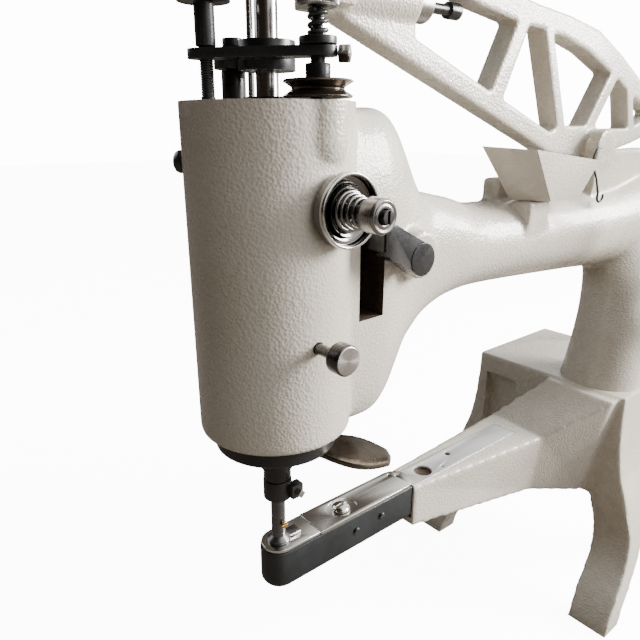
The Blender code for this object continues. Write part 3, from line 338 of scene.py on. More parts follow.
def turned_metal(name, centre, axis, colour=(0.60, 0.59, 0.57), roughness=0.24, marks=0.5, metallic=1.0):
    """Bare metal with fine circular tool marks about one axis."""
    metal = Shader(name, colour, metallic, roughness)
    vector = lathe_vector(metal, centre, axis)
    fine = metal.noise(5200.0, 2.0, vector=vector)
    broad = metal.noise(900.0, 2.0, vector=vector)
    metal.set("Base Color", metal.tint(broad, tuple(c * 0.84 for c in colour),
                                       tuple(min(1, c * 1.1) for c in colour)))
    metal.set("Roughness", metal.spread(fine, roughness - 0.07, roughness + 0.12))
    metal.bump(fine, 0.22 * marks, 0.0002)
    metal.bump(broad, 0.12 * marks, 0.0003)
    return metal.material


def spun_face(name, colour, roughness):
    """Steel with the fan-shaped glint of a faced-off end."""
    metal = Shader(name, colour, 1.0, roughness)
    around = metal.nodes.new("ShaderNodeTangent")
    around.direction_type = "RADIAL"
    around.axis = "Y"
    metal.shader.inputs["Anisotropic"].default_value = 0.85
    metal.set("Tangent", around.outputs[0])
    return metal.material


def brushed_metal(name, colour, roughness, along=(0.02, 1.0, 1.0), marks=0.5):
    """Flat metal with fine straight scratches along X."""
    metal = Shader(name, colour, 1.0, roughness)
    lines = metal.noise(2600.0, 3.0, along)
    smudge = metal.noise(35.0, 4.0)
    metal.set("Base Color", metal.tint(lines, tuple(c * 0.86 for c in colour),
                                       tuple(min(1, c * 1.08) for c in colour)))
    metal.set("Roughness", metal.spread(smudge, roughness - 0.06, roughness + 0.10))
    metal.bump(lines, 0.15 * marks, 0.0002)
    return metal.material


def blued_nose():
    steel = Shader("blued_nose", (0.014, 0.017, 0.018), 0.2, 0.36, 0.1)
    # Convex edges lighter: rubbed wear on the bluing, and a painted edge highlight.
    steel.set("Base Color", steel.rubbed_and_highlit_edges(steel.tint(steel.noise(40.0, 5.0), (0.009, 0.011, 0.012),
                                                        (0.020, 0.024, 0.026)), (0.14, 0.15, 0.15), 0.5))
    steel.set("Roughness", steel.spread(steel.noise(150.0, 3.0), 0.30, 0.50))
    steel.bump(steel.noise(500.0, 3.0), 0.12, 0.0003)
    return steel.material


def dark_bronze(name="dark_bronze"):
    bronze = Shader(name, (0.10, 0.075, 0.055), 0.9, 0.2)
    patina = bronze.tint(bronze.noise(55.0, 5.0), (0.040, 0.031, 0.024), (0.125, 0.10, 0.075))
    # Convex edges lighter: rubbed-bright bronze, and a painted edge highlight.
    bronze.set("Base Color", bronze.rubbed_and_highlit_edges(patina, (0.55, 0.50, 0.42), 0.85))
    bronze.set("Roughness", bronze.spread(bronze.noise(90.0, 4.0), 0.15, 0.34))
    bronze.bump(bronze.noise(260.0, 3.0), 0.10, 0.0004)
    return bronze.material


# --- mesh tools ------------------------------------------------------------------------------


def softened(profile, radius, closed):
    """A profile with each of its corners rounded over by a short arc."""
    made = []
    count = len(profile)
    for k, point in enumerate(profile):
        here = Vector(point)
        if not closed and k in (0, count - 1):
            made.append(here)
            continue
        before = Vector(profile[k - 1]) - here
        after = Vector(profile[(k + 1) % count]) - here
        reach = min(radius, before.length * 0.45, after.length * 0.45)
        start = here + before.normalized() * reach
        end = here + after.normalized() * reach
        for t in (0.0, 0.33, 0.67, 1.0):
            made.append(start * (1 - t) ** 2 + here * 2 * t * (1 - t) + end * t ** 2)
    return made


def placed(axis, radius, angle, along):
    c, s = radius * math.cos(angle), radius * math.sin(angle)
    return {"X": (along, c, s), "Y": (c, along, s), "Z": (c, s, along)}[axis]


def turned(profile, axis, centre=(0.0, 0.0, 0.0), segments=72, edge=0.35, knurl=None):
    """A lathe shape of (radius, along) points. A profile off the axis is a closed loop.

    knurl is (count, depth, low, high): ridges on the rings between two places along the axis.
    """
    closed = profile[0][0] > 0
    points = softened(profile, edge, closed)
    origin = Vector(centre)
    origin["XYZ".index(axis)] = 0.0
    bm = bmesh.new()
    rings = []
    for radius, along in points:
        if radius < 1e-6:
            rings.append([bm.verts.new(origin + Vector(placed(axis, 0.0, 0.0, along)))])
            continue
        ring = []
        for k in range(segments):
            angle = 2 * math.pi * k / segments
            cut = 0.0
            if knurl and knurl[2] <= along <= knurl[3]:
                cut = knurl[1] * (0.5 - 0.5 * math.cos(knurl[0] * angle))
            ring.append(bm.verts.new(origin + Vector(placed(axis, radius - cut, angle, along))))
        rings.append(ring)
    pairs = list(zip(rings, rings[1:])) + ([(rings[-1], rings[0])] if closed else [])
    for low, high in pairs:
        for k in range(segments):
            j = (k + 1) % segments
            corners = [low[k % len(low)], low[j % len(low)], high[j % len(high)], high[k % len(high)]]
            unique = list(dict.fromkeys(corners))
            if len(unique) > 2:
                bm.faces.new(unique)
    bmesh.ops.recalc_face_normals(bm, faces=bm.faces[:])
    return bm


def rod(radius, start, end, axis, centre=(0.0, 0.0, 0.0), segments=48):
    return turned([(0, start), (radius, start), (radius, end), (0, end)], axis, centre, segments, 0.0)


def catmull(points, steps):
    """A smooth run of points through the given ones."""
    points = [Vector(p) for p in points]
    made = []
    for k in range(len(points) - 1):
        a, b, c, d = points[max(k - 1, 0)], points[k], points[k + 1], points[min(k + 2, len(points) - 1)]
        for i in range(steps):
            t = i / steps
            made.append(0.5 * (2 * b + (c - a) * t + (2 * a - 5 * b + 4 * c - d) * t ** 2
                               + (3 * b - a - 3 * c + d) * t ** 3))
    return made + [points[-1]]


def lofted(sections, steps=1):
    """A closed skin through sections of equal point counts, ends capped."""
    if steps > 1:
        tracks = [catmull([section[k] for section in sections], steps) for k in range(len(sections[0]))]
        sections = [list(level) for level in zip(*tracks)]
    bm = bmesh.new()
    rings = [[bm.verts.new(point) for point in section] for section in sections]
    for low, high in zip(rings, rings[1:]):
        for k in range(len(low)):
            j = (k + 1) % len(low)
            bm.faces.new((low[k], low[j], high[j], high[k]))
    bm.faces.new(list(reversed(rings[0])))
    bm.faces.new(rings[-1])
    bmesh.ops.recalc_face_normals(bm, faces=bm.faces[:])
    return bm


def prism(outline, low, high, axis):
    """An outline pushed from low to high: XZ points along Y, or XY points along Z."""
    if axis == "Y":
        return lofted([[(x, low, z) for x, z in outline], [(x, high, z) for x, z in outline]])
    return lofted([[(x, y, low) for x, y in outline], [(x, y, high) for x, y in outline]])


def box(low, high):
    (x0, y0, z0), (x1, y1, z1) = low, high
    return prism([(x0, y0), (x1, y0), (x1, y1), (x0, y1)], z0, z1, "Z")


def swept(points, radius, sides=12):
    """A round wire along a run of points."""
    points = [Vector(p) for p in points]
    bm = bmesh.new()
    rings = []
    normal = Vector((0, 0, 1))
    for k, point in enumerate(points):
        tangent = (points[min(k + 1, len(points) - 1)] - points[max(k - 1, 0)]).normalized()
        normal = normal - tangent * normal.dot(tangent)
        if normal.length < 0.05:
            normal = tangent.orthogonal()
        normal.normalize()
        side = tangent.cross(normal)
        rings.append([bm.verts.new(point + (normal * math.cos(a) + side * math.sin(a)) * radius)
                      for a in (2 * math.pi * i / sides for i in range(sides))])
    for low, high in zip(rings, rings[1:]):
        for k in range(sides):
            j = (k + 1) % sides
            bm.faces.new((low[k], low[j], high[j], high[k]))
    bm.faces.new(list(reversed(rings[0])))
    bm.faces.new(rings[-1])
    bmesh.ops.recalc_face_normals(bm, faces=bm.faces[:])
    return bm


def coil(axis, centre, start, end, radius_start, radius_end, turns, wire):
    """A wound spring whose last half turn at each end lies flat."""
    origin = Vector(centre)
    origin["XYZ".index(axis)] = 0.0
    points = []
    steps = int(turns * 28)
    for k in range(steps + 1):
        t = k / steps
        lie = min(max((t * turns - 0.6) / (turns - 1.2), 0.0), 1.0)
        radius = radius_start + (radius_end - radius_start) * t
        along = start + (end - start) * lie
        points.append(origin + Vector(placed(axis, radius, 2 * math.pi * turns * t, along)))
    return swept(points, wire, 10)


def joined(bodies):
    """Several shapes in one mesh."""
    made = bmesh.new()
    for body in bodies:
        mesh = bpy.data.meshes.new("joined")
        body.to_mesh(mesh)
        body.free()
        made.from_mesh(mesh)
        bpy.data.meshes.remove(mesh)
    return made


def new_object(name, bm):
    """A bmesh in millimetres becomes an object in the row frame."""
    bmesh.ops.translate(bm, vec=ORIGIN, verts=bm.verts)
    bmesh.ops.scale(bm, vec=(MM, MM, MM), verts=bm.verts)
    mesh = bpy.data.meshes.new(name)
    bm.to_mesh(mesh)
    bm.free()
    made = bpy.data.objects.new(name, mesh)
    bpy.context.collection.objects.link(made)
    return made


def applied(piece):
    """The piece's modifiers become its mesh."""
    graph = bpy.context.evaluated_depsgraph_get()
    mesh = bpy.data.meshes.new_from_object(piece.evaluated_get(graph))
    piece.modifiers.clear()
    old = piece.data
    piece.data = mesh
    bpy.data.meshes.remove(old)


def machined(piece, cutters):
    """Cuts holes, slots and flats out of a piece."""
    tools = [new_object("tool", cutter) for cutter in cutters]
    for tool in tools:
        cut = piece.modifiers.new("cut", "BOOLEAN")
        cut.operation = "DIFFERENCE"
        cut.solver = "MANIFOLD"
        cut.object = tool
    if tools:
        applied(piece)
    for tool in tools:
        bpy.data.objects.remove(tool, do_unlink=True)


def settled(piece, material, nodes, body=None, sharp=38.0):
    """Shading, material, body and the CAD nodes that the piece stands for."""
    piece.data.materials.clear()
    piece.data.materials.append(material)
    piece.data.shade_smooth()
    piece.data.set_sharp_from_angle(angle=math.radians(sharp))
    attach(piece, body or BODY_OF[nodes[0]])
    if body is None:
        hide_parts(*nodes)
    return piece


def second_finish(piece, material, chosen):
    """Gives another material to the faces whose middle and normal are chosen."""
    piece.data.materials.append(material)
    for face in piece.data.polygons:
        if chosen(Vector(face.center) / MM - ORIGIN, face.normal):
            face.material_index = 1
    return piece


def lathe_piece(node, material, profile, axis, centre=(0.0, 0.0, 0.0), cutters=(), **options):
    """A turned part that stands for one CAD node."""
    piece = new_object(node + "_turned", turned(profile, axis, centre, **options))
    machined(piece, cutters)
    return settled(piece, material, [node])


def cast_piece(node, material, bodies, cutters, voxel, passes):
    """Overlapping bodies melted into one skin with filleted corners, then machined."""
    piece = new_object(node + "_cast", joined(bodies))
    skin = piece.modifiers.new("skin", "REMESH")
    skin.mode = "VOXEL"
    skin.voxel_size = voxel * MM
    fillets = piece.modifiers.new("fillets", "SMOOTH")
    fillets.factor = 0.5
    fillets.iterations = passes
    applied(piece)
    machined(piece, cutters)
    return settled(piece, material, [node])


def edged_piece(node, material, edge=0.35, angle=32.0, segments=3):
    """The CAD shape with its sharp edges broken."""
    bm = bmesh.new()
    bm.from_mesh(NODES[node].data)
    bmesh.ops.remove_doubles(bm, verts=bm.verts, dist=2e-6)
    bmesh.ops.dissolve_limit(bm, angle_limit=math.radians(1.0), verts=bm.verts, edges=bm.edges)
    sharp = [e for e in bm.edges if e.is_manifold and e.calc_face_angle(0.0) > math.radians(angle)]
    if edge:
        bmesh.ops.bevel(bm, geom=sharp, offset=edge * MM, offset_type="OFFSET", segments=segments,
                        profile=0.5, affect="EDGES", clamp_overlap=True)
    bmesh.ops.recalc_face_normals(bm, faces=bm.faces[:])
    mesh = bpy.data.meshes.new(node + "_edged")
    bm.to_mesh(mesh)
    bm.free()
    piece = bpy.data.objects.new(node + "_edged", mesh)
    bpy.context.collection.objects.link(piece)
    return settled(piece, material, [node])


def added_piece(name, material, bm, node, cutters=()):
    """A detail that rides with a CAD node and stands for none."""
    piece = new_object(name, bm)
    machined(piece, cutters)
    return settled(piece, material, [node], body=BODY_OF[node])


# --- castings --------------------------------------------------------------------------------


def oval_x(x, half_width, low, high, power=2.4, count=64):
    middle, half_height = (low + high) / 2, (high - low) / 2
    ring = []
    for k in range(count):
        c, s = math.cos(2 * math.pi * k / count), math.sin(2 * math.pi * k / count)
        ring.append((x, half_width * math.copysign(abs(c) ** (2 / power), c),
                     middle + half_height * math.copysign(abs(s) ** (2 / power), s)))
    return ring


def oval_z(z, x, y, radius_x, radius_y, count=64):
    return [(x + radius_x * math.cos(a), y + radius_y * math.sin(a), z)
            for a in (2 * math.pi * k / count for k in range(count))]


def rectangle_z(z, x0, x1, y0, y1):
    return [(x0, y0, z), (x1, y0, z), (x1, y1, z), (x0, y1, z)]


BORE = 32.0
DRUM_TOP = 164.5


def arm_casting(paint):
    """Head drum, funnel, arm, column, pivot lugs and shaft housing in one casting."""
    drum = turned([(0, 8.0), (37.1, 8.0), (38.3, 10.0), (39.0, 168.0), (0, 168.0)], "Z", segments=128,
                  edge=0.8)
    arm = lofted([
        oval_x(24.0, 31.0, 2.0, 163.5, 3.4), oval_x(48.0, 30.0, 1.0, 163.0, 3.4),
        oval_x(59.0, 28.0, 4.5, 163.0, 3.0), oval_x(66.0, 26.5, 14.0, 158.5, 2.8),
        oval_x(74.0, 25.5, 29.0, 145.5, 2.6), oval_x(81.0, 25.0, 37.5, 133.0, 2.5),
        oval_x(90.0, 24.5, 46.0, 122.5), oval_x(104.0, 24.0, 53.0, 118.5),
        oval_x(122.0, 24.0, 56.5, 114.8, 2.2), oval_x(150.0, 24.5, 57.5, 109.0, 2.0),
        oval_x(220.0, 28.5, 54.0, 110.5, 2.0), oval_x(290.0, 33.0, 49.0, 115.0, 2.0),
        oval_x(335.0, 38.0, 42.0, 121.0, 2.2), oval_x(365.0, 38.0, 44.0, 121.0),
        oval_x(380.0, 32.0, 52.0, 114.0)], 4)
    column = lofted([
        oval_z(-41.0, 297.0, -31.0, 29.5, 32.0), oval_z(-30.0, 299.0, -31.0, 28.5, 30.5),
        oval_z(-10.0, 305.0, -30.0, 28.0, 29.0), oval_z(15.0, 314.0, -28.0, 29.0, 28.5),
        oval_z(40.0, 325.0, -23.0, 32.0, 29.0), oval_z(58.0, 337.0, -15.0, 37.0, 31.0),
        oval_z(80.0, 342.0, -5.0, 36.0, 31.0)], 4)
    lugs = rod(13.0, -20.0, 20.0, "Y", PIVOT, 64)
    saddle = prism([(262.0, 96.0), (352.0, 96.0), (352.0, 128.0), (338.0, 138.0), (276.0, 137.0),
                    (263.5, 137.0)], -19.6, 19.6, "Y")
    bridge = prism([(345.0, 66.0), (392.0, 78.0), (404.0, 80.0), (404.0, 112.0), (392.0, 114.0),
                    (345.0, 112.0)], -56.0, -29.0, "Y")
    bodies = [drum, arm, column, lugs, saddle, bridge, turned([(0, 137.0), (8.0, 138.4), (12.0, 141.4),
                                                               (13.2, 146.0), (13.2, 168.0), (0, 168.0)],
                                                              "Z", RIGHT_POST, 64, 1.5),
              rod(12.5, -34.5, -15.0, "Y", (70.0, 0, 92.0)),
              box((176.0, -26.0, 90.0), (199.0, -12.0, 109.3)),
              box((172.0, -5.0, 98.0), (186.0, 8.0, 122.5)), rod(21.0, -62.0, -28.0, "Y", SHAFT, 64)]
    cutters = [rod(BORE, -2.0, 150.0, "Z", segments=128), rod(9.1, 140.0, 180.0, "Z"),
               box((29.0, -50.0, 64.0), (46.0, 6.0, 116.0)), rod(4.3, -50.0, -20.0, "Y", (58.0, 0, 93.0)),
               box((250.0, -10.5, 124.0), (360.0, 10.5, 160.0)), rod(6.3, -15.6, 40.0, "Y", PIVOT),
               rod(7.3, -80.0, 0.0, "Y", SHAFT), rod(3.4, -60.0, -25.0, "Y", TENSION),
               rod(3.0, -60.0, -25.0, "Y", THUMB), rod(3.2, 154.0, 180.0, "Z", LEFT_POST),
               rod(3.2, 154.0, 180.0, "Z", SHORT_POST), rod(3.2, 154.0, 180.0, "Z", RIGHT_POST),
               box((-60.0, -60.0, DRUM_TOP), (62.0, 60.0, 190.0))]

    # Faces inside the bore and along the slot's walls get the dark brown iron.
    def inside_bore_and_slot(spot, normal):
        in_bore = math.hypot(spot.x, spot.y) < BORE + 0.25 and spot.z < 150.5
        in_slot = 28.7 < spot.x < 46.3 and -40.0 < spot.y < 6.3 and 63.7 < spot.z < 116.3
        return in_bore or (in_slot and abs(normal.y) < 0.5)

    casting = cast_piece("arm_casting", paint, bodies, cutters, 1.4, 6)
    return second_finish(casting, dark_iron_and_shade(), inside_bore_and_slot)


def leg(side, rear):
    """A claw leg that curls out from under the block to a flat foot."""

    def section(z, front, depth, inner, outer):
        xs = sorted((front, front + depth))
        if rear:
            xs = [2 * BLOCK_MID_X - x for x in reversed(xs)]
        ys = sorted((side * inner, side * outer))
        return rectangle_z(z, xs[0], xs[1], ys[0], ys[1])

    return lofted([
        section(-92.0, 272.0, 34.0, 38.0, 66.0), section(-112.0, 269.0, 33.0, 44.0, 74.0),
        section(-130.0, 267.5, 29.0, 50.0, 80.0), section(-150.0, 266.5, 24.0, 56.0, 86.0),
        section(-170.0, 257.0, 22.0, 60.0, 90.0), section(-190.0, 240.0, 22.0, 62.0, 93.0),
        section(-203.0, 231.0, 22.0, 64.0, 94.0), section(FLOOR_Z, 228.0, 22.0, 64.0, 94.0)], 4)


def bed_casting(paint):
    """Block, four claw legs, the lower arm and the ears of the rocker behind."""
    block = lofted([
        rectangle_z(-126.0, 268.0, 372.0, -78.0, 78.0), rectangle_z(-104.0, 268.0, 372.0, -71.0, 71.0),
        rectangle_z(-75.0, 268.0, 372.0, -66.0, 66.0), rectangle_z(-38.0, 268.0, 372.0, -64.0, 64.0)], 4)
    arm = lofted([
        [(99.0, -12.2, -98.0), (99.0, 12.2, -98.0), (99.0, 12.2, BED_TOP), (99.0, -12.2, BED_TOP)],
        [(224.0, -22.0, -118.0), (224.0, 18.0, -118.0), (226.5, 20.0, BED_TOP), (221.0, -28.2, BED_TOP)],
        [(262.0, -42.0, -124.0), (262.0, 20.0, -124.0), (262.0, -4.0, -39.5), (258.0, -60.0, -39.5)],
        [(280.0, -42.0, -125.0), (280.0, 20.0, -125.0), (280.0, -4.0, -39.5), (280.0, -60.0, -39.5)]])
    ears = [prism([(368.0, -86.0), (390.0, -86.0), (399.0, -80.0), (399.0, -68.0), (390.0, -62.0),
                   (368.0, -62.0)], low, low + 8.0, "Y") for low in (-22.0, 14.0)]
    legs = [leg(side, rear) for side in (-1, 1) for rear in (False, True)]
    cutters = [box((282.0, -54.0, -140.0), (358.0, 54.0, -52.0)),
               box((95.0, -5.0, -92.0), (378.0, 5.0, -78.0)), box((90.0, -7.5, -92.0), (125.0, 7.5, -72.0)),
               box((90.0, -10.8, BED_TOP - 2.3), (213.0, 8.4, -60.0)),
               box((240.0, 26.0, -118.0), (274.0, 56.0, -54.0)), rod(3.3, -40.0, 40.0, "Y", ROCKER)]

    # The recess floor under the slide plate takes the dark iron as painted shade, so the holes in the plate
    # look dark.
    def under_the_slide(spot, _):
        return 90.0 < spot.x < 212.5 and -10.5 < spot.y < 8.1 and -93.0 < spot.z < BED_TOP - 1.0

    casting = cast_piece("bed_casting", paint, [block, arm, *ears, *legs], cutters, 1.5, 6)
    return second_finish(casting, dark_iron_and_shade(), under_the_slide)


def needle_lever(paint):
    """Truss lever with five windows, its front tube boss and the fork at the crosshead."""
    outline = [(30.0, 241.0), (110.0, 236.5), (140.0, 231.0), (192.0, 224.0), (232.0, 221.0), (270.0, 216.0),
               (306.0, 203.0), (343.0, 187.0), (402.0, 172.0), (409.0, 163.0), (404.0, 154.5),
               (340.0, 140.5), (276.0, 130.0), (222.0, 137.0), (40.0, 200.0), (29.0, 208.0)]
    windows = [
        [(87.1, 226.5), (138.0, 216.6), (173.5, 212.0), (153.0, 173.5), (87.1, 196.5)],
        [(186.5, 211.0), (203.0, 210.0), (229.0, 153.0), (222.0, 150.2), (166.0, 169.5)],
        [(214.0, 209.0), (228.0, 207.6), (258.0, 201.5), (293.0, 189.8), (266.5, 154.0), (240.0, 154.0)],
        [(304.5, 186.0), (320.5, 179.0), (331.0, 152.0), (286.0, 152.0), (280.5, 154.0)],
        [(333.0, 175.0), (372.0, 163.5), (341.5, 154.0)]]
    web = new_object("web", prism(outline, -7.0, 7.0, "Y"))
    machined(web, [prism(window, -20.0, 20.0, "Y") for window in windows])
    bm = bmesh.new()
    bm.from_mesh(web.data)
    bpy.data.objects.remove(web, do_unlink=True)
    bmesh.ops.scale(bm, vec=(1 / MM,) * 3, verts=bm.verts)
    bmesh.ops.translate(bm, vec=-ORIGIN, verts=bm.verts)
    bodies = [bm, rod(12.0, -10.1, 10.1, "Y", PIVOT), rod(11.5, 28.0, 87.0, "X", (0, 0, 213.0)),
              rod(9.4, -6.8, 7.6, "Y", TAIL),
              box((26.0, -14.8, 205.0), (40.0, 14.8, 242.0)), box((-4.0, -14.4, 222.0), (30.0, -9.1, 241.4)),
              box((-4.0, 9.1, 222.0), (30.0, 14.4, 241.4))]
    cutters = [box((-10.0, -20.0, 227.8), (14.0, 20.0, 236.2)),
               box((386.0, -20.0, 140.0), (430.0, 0.6, 190.0)), rod(4.3, -20.0, 20.0, "Y", TAIL),
               rod(6.3, -30.0, 30.0, "Y", PIVOT), rod(4.9, 60.0, 100.0, "X", (0, 0, 213.0))]
    return cast_piece("needle_lever", paint, bodies, cutters, 1.15, 6)


def hand_wheel(paint):
    """Round rim, three flat spokes that thicken at both ends, and a long hub."""
    rim = turned([(101.0 + 7.0 * math.cos(a), WHEEL_Y + 7.0 * math.sin(a))
                  for a in (2 * math.pi * k / 24 for k in range(24))], "Y", SHAFT, 160, 0.0)
    spokes = []
    for k in range(3):
        angle = math.radians(-35 + 120 * k)
        out, side = Vector((math.cos(angle), 0, math.sin(angle))), Vector((-math.sin(angle), 0,
                                                                           math.cos(angle)))
        levels = []
        for reach, half, thick in ((8.0, 9.5, 5.4), (28.0, 7.6, 4.6), (70.0, 6.8, 4.2), (97.0, 8.4, 4.8)):
            ring = []
            for i in range(24):
                a = 2 * math.pi * i / 24
                middle = Vector((SHAFT.x, WHEEL_Y, SHAFT.z)) + out * reach
                ring.append(middle + side * half * math.cos(a) + Vector((0, thick * math.sin(a), 0)))
            levels.append(ring)
        spokes.append(lofted(levels, 4))
    bodies = [rim, *spokes, rod(17.0, -93.0, -66.0, "Y", SHAFT, 64),
              rod(9.0, WHEEL_Y - 7.5, WHEEL_Y + 6.0, "Y", GRIP)]
    cutters = [rod(7.35, -120.0, -50.0, "Y", SHAFT), rod(4.3, -120.0, -50.0, "Y", GRIP)]
    return cast_piece("hand_wheel", paint, bodies, cutters, 1.4, 5)


# --- needle and presser group ----------------------------------------------------------------

NEEDLE_LINE = (0.0, 0.0, 0.0)


def threaded(radius, low, high, pitch=1.0, depth=0.42):
    """The flanks of a screw thread as a run of small grooves."""
    points = []
    count = int((high - low) / pitch)
    for k in range(count):
        z = low + k * pitch
        points += [(radius, z + 0.1 * pitch), (radius - depth, z + 0.6 * pitch)]
    return points + [(radius, high)]


def presser_group(black, steel):
    lathe_piece("presser_tube", black, [
        (5.5, -25.6), (7.4, -25.6), (7.4, -19.0), (8.5, -19.0), (8.5, 117.5), (24.0, 117.5), (24.0, 121.5),
        (8.5, 121.5), (8.5, 128.0), (5.5, 128.0)], "Z", segments=96, edge=0.6)
    lathe_piece("direction_ring", black, [
        (9.1, -3.0), (28.5, -3.0), (31.4, -1.2), (31.4, 18.0), (26.0, 18.0), (26.0, 5.0), (9.1, 5.0)], "Z",
        segments=144, edge=0.9)
    spring = new_object("presser_coil", coil("Z", NEEDLE_LINE, 123.2, 148.0, 11.8, 11.8, 5.5, 1.4))
    settled(spring, steel, ["presser_spring"])
    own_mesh(spring)
    edged_piece("foot_clamp", black, 0.6)
    screw = turned_metal("clamp_screw_steel", centre_of("clamp_screw"), "Y", roughness=0.3)
    edged_piece("clamp_screw", screw, 0.3)
    foot_steel = turned_metal("foot_steel", NEEDLE_LINE, "Z", (0.17, 0.17, 0.175), 0.3)
    edged_piece("presser_foot", foot_steel, 0.3)
    brass = turned_metal("brass", centre_of("foot_screw"), "Y", (0.62, 0.44, 0.17), 0.25)
    place = centre_of("foot_screw")
    lathe_piece("foot_screw", brass, [(0, -6.6), (1.7, -6.6), (2.0, -6.3), (2.0, -5.4), (1.2, -5.4),
                                      (1.2, -4.3), (0, -4.3)], "Y", place,
                [box((-3.0, -8.0, place.z - 0.35), (3.0, -6.1, place.z + 0.35))], segments=40, edge=0.15)


def needle_group(steel, black):
    lathe_piece("needle_bar", steel, [(0, -4.0), (5.0, -4.0), (5.0, 242.0), (0, 242.0)], "Z", segments=96,
                edge=0.8)
    lathe_piece("needle", steel, [(0, -60.0), (0.35, -58.6), (1.0, -53.0), (1.0, -24.0), (1.4, -22.0),
                                  (1.4, -4.4), (0, -4.4)], "Z", NEEDLE_LINE,
                [rod(0.38, -3.0, 3.0, "Y", (0, 0, -52.0), 16)], segments=32, edge=0.3)
    edged_piece("crosshead", black, 0.7)


def ring_handle(bronze):
    """Drooping leaf-shaped lever with a crowned top and a rolled rim."""
    turn = Matrix.Rotation(math.radians(-39), 3, "Z")
    root, length, width, droop = 15.0, 46.0, 15.0, 0.19

    def level(z, shrink):
        right, left = [], []
        for i in range(41):
            t = i / 40
            half = width * (0.42 + 0.58 * math.sin(math.pi * min(1.0, t * 1.02) ** 1.25))
            half = min(half, width * math.sqrt(max(1 - t ** 6, 0.0)) + 0.4) - shrink
            x = root + shrink + (length - 2 * shrink) * t
            right.append((x, -max(half, 0.3)))
            left.append((x, max(half, 0.3)))
        return [turn @ Vector((x, y, z - droop * (x - root))) for x, y in right + list(reversed(left))]

    leaf = new_object("ring_handle_leaf", lofted([level(-7.7, 1.4), level(-7.1, 0.3), level(-6.3, 0.0),
                                                  level(-5.1, 0.0), level(-4.1, 0.4), level(-3.7, 1.8),
                                                  level(-3.5, 4.0)]))
    return settled(leaf, bronze, ["ring_handle"])


def head_fittings(black):
    lathe_piece("bar_bushing", black, [(5.35, 152.0), (8.7, 152.0), (8.7, 164.8), (10.6, 164.8),
                                       (10.6, 166.5), (5.35, 166.5)], "Z", segments=72, edge=0.4)
    edged_piece("side_plug", black, 0.0)
    edged_piece("lifter", black, 1.0, 30.0, 4)


# --- posts on top of the head ----------------------------------------------------------------


def post_group(black, steel, bronze):
    lathe_piece("left_post", black, [(0, 156.0), (3.0, 156.0), (3.0, 166.0)] + threaded(3.0, 166.0, 185.6)
                + [(4.2, 186.0), (4.2, 202.0), (11.0, 202.6), (11.0, 205.6), (4.2, 206.2)]
                + threaded(4.2, 206.4, 215.0) + [(0, 216.0)], "Z", LEFT_POST, segments=64, edge=0.2,
                knurl=(44, 0.5, 202.7, 205.5))
    lathe_piece("short_post", black, [(0, 156.0), (3.0, 156.0), (3.0, 164.9), (5.4, 164.9), (5.4, 178.0),
                                      (3.0, 178.0), (3.0, 187.2), (4.4, 187.2), (4.4, 191.4), (0, 191.4)],
                "Z", SHORT_POST, edge=0.5)
    lathe_piece("guide_rod", steel, [(0, 159.0), (1.5, 159.0), (1.5, 222.0), (0, 222.0)], "Z",
                centre_of("guide_rod"), segments=32, edge=0.3)
    lathe_piece("right_post", black, [(0, 156.0), (3.0, 156.0), (3.0, 173.0), (5.1, 173.0), (5.1, 178.5),
                                      (3.0, 178.5), (3.0, 185.4), (7.7, 185.4), (7.7, 188.4), (2.2, 188.8)]
                + threaded(2.2, 189.0, 212.0, 0.8, 0.3) + [(0, 213.0)], "Z", RIGHT_POST, segments=64,
                edge=0.3)
    spring = new_object("post_coil", coil("Z", RIGHT_POST, 189.8, 197.7, 3.45, 3.45, 3.6, 0.9))
    settled(spring, black, ["post_spring"])
    knob = turned_metal("post_nut_steel", RIGHT_POST, "Z", roughness=0.26)
    lathe_piece("post_nut", knob, [(2.6, 199.0), (7.4, 199.0), (8.2, 199.8), (8.2, 206.6), (7.4, 207.5),
                                   (2.6, 207.5)], "Z", RIGHT_POST, segments=192, edge=0.2,
                knurl=(48, 0.45, 199.7, 206.7))
    lathe_piece("thread_wheel", bronze, [(3.3, 165.3), (13.8, 165.3), (14.6, 166.1), (11.2, 168.2),
                                         (10.8, 168.9), (11.2, 169.6), (14.6, 171.7), (13.8, 172.5),
                                         (8.0, 172.5), (7.4, 171.9), (3.3, 171.9)], "Z", RIGHT_POST,
                segments=112, edge=0.25)
    edged_piece("bridge_plate", black, 0.8)
    screw = brushed_metal("bridge_screw_chrome", (0.66, 0.66, 0.65), 0.16)
    edged_piece("bridge_screw", screw, 0.5)


# --- thread tension, thumbscrew --------------------------------------------------------------


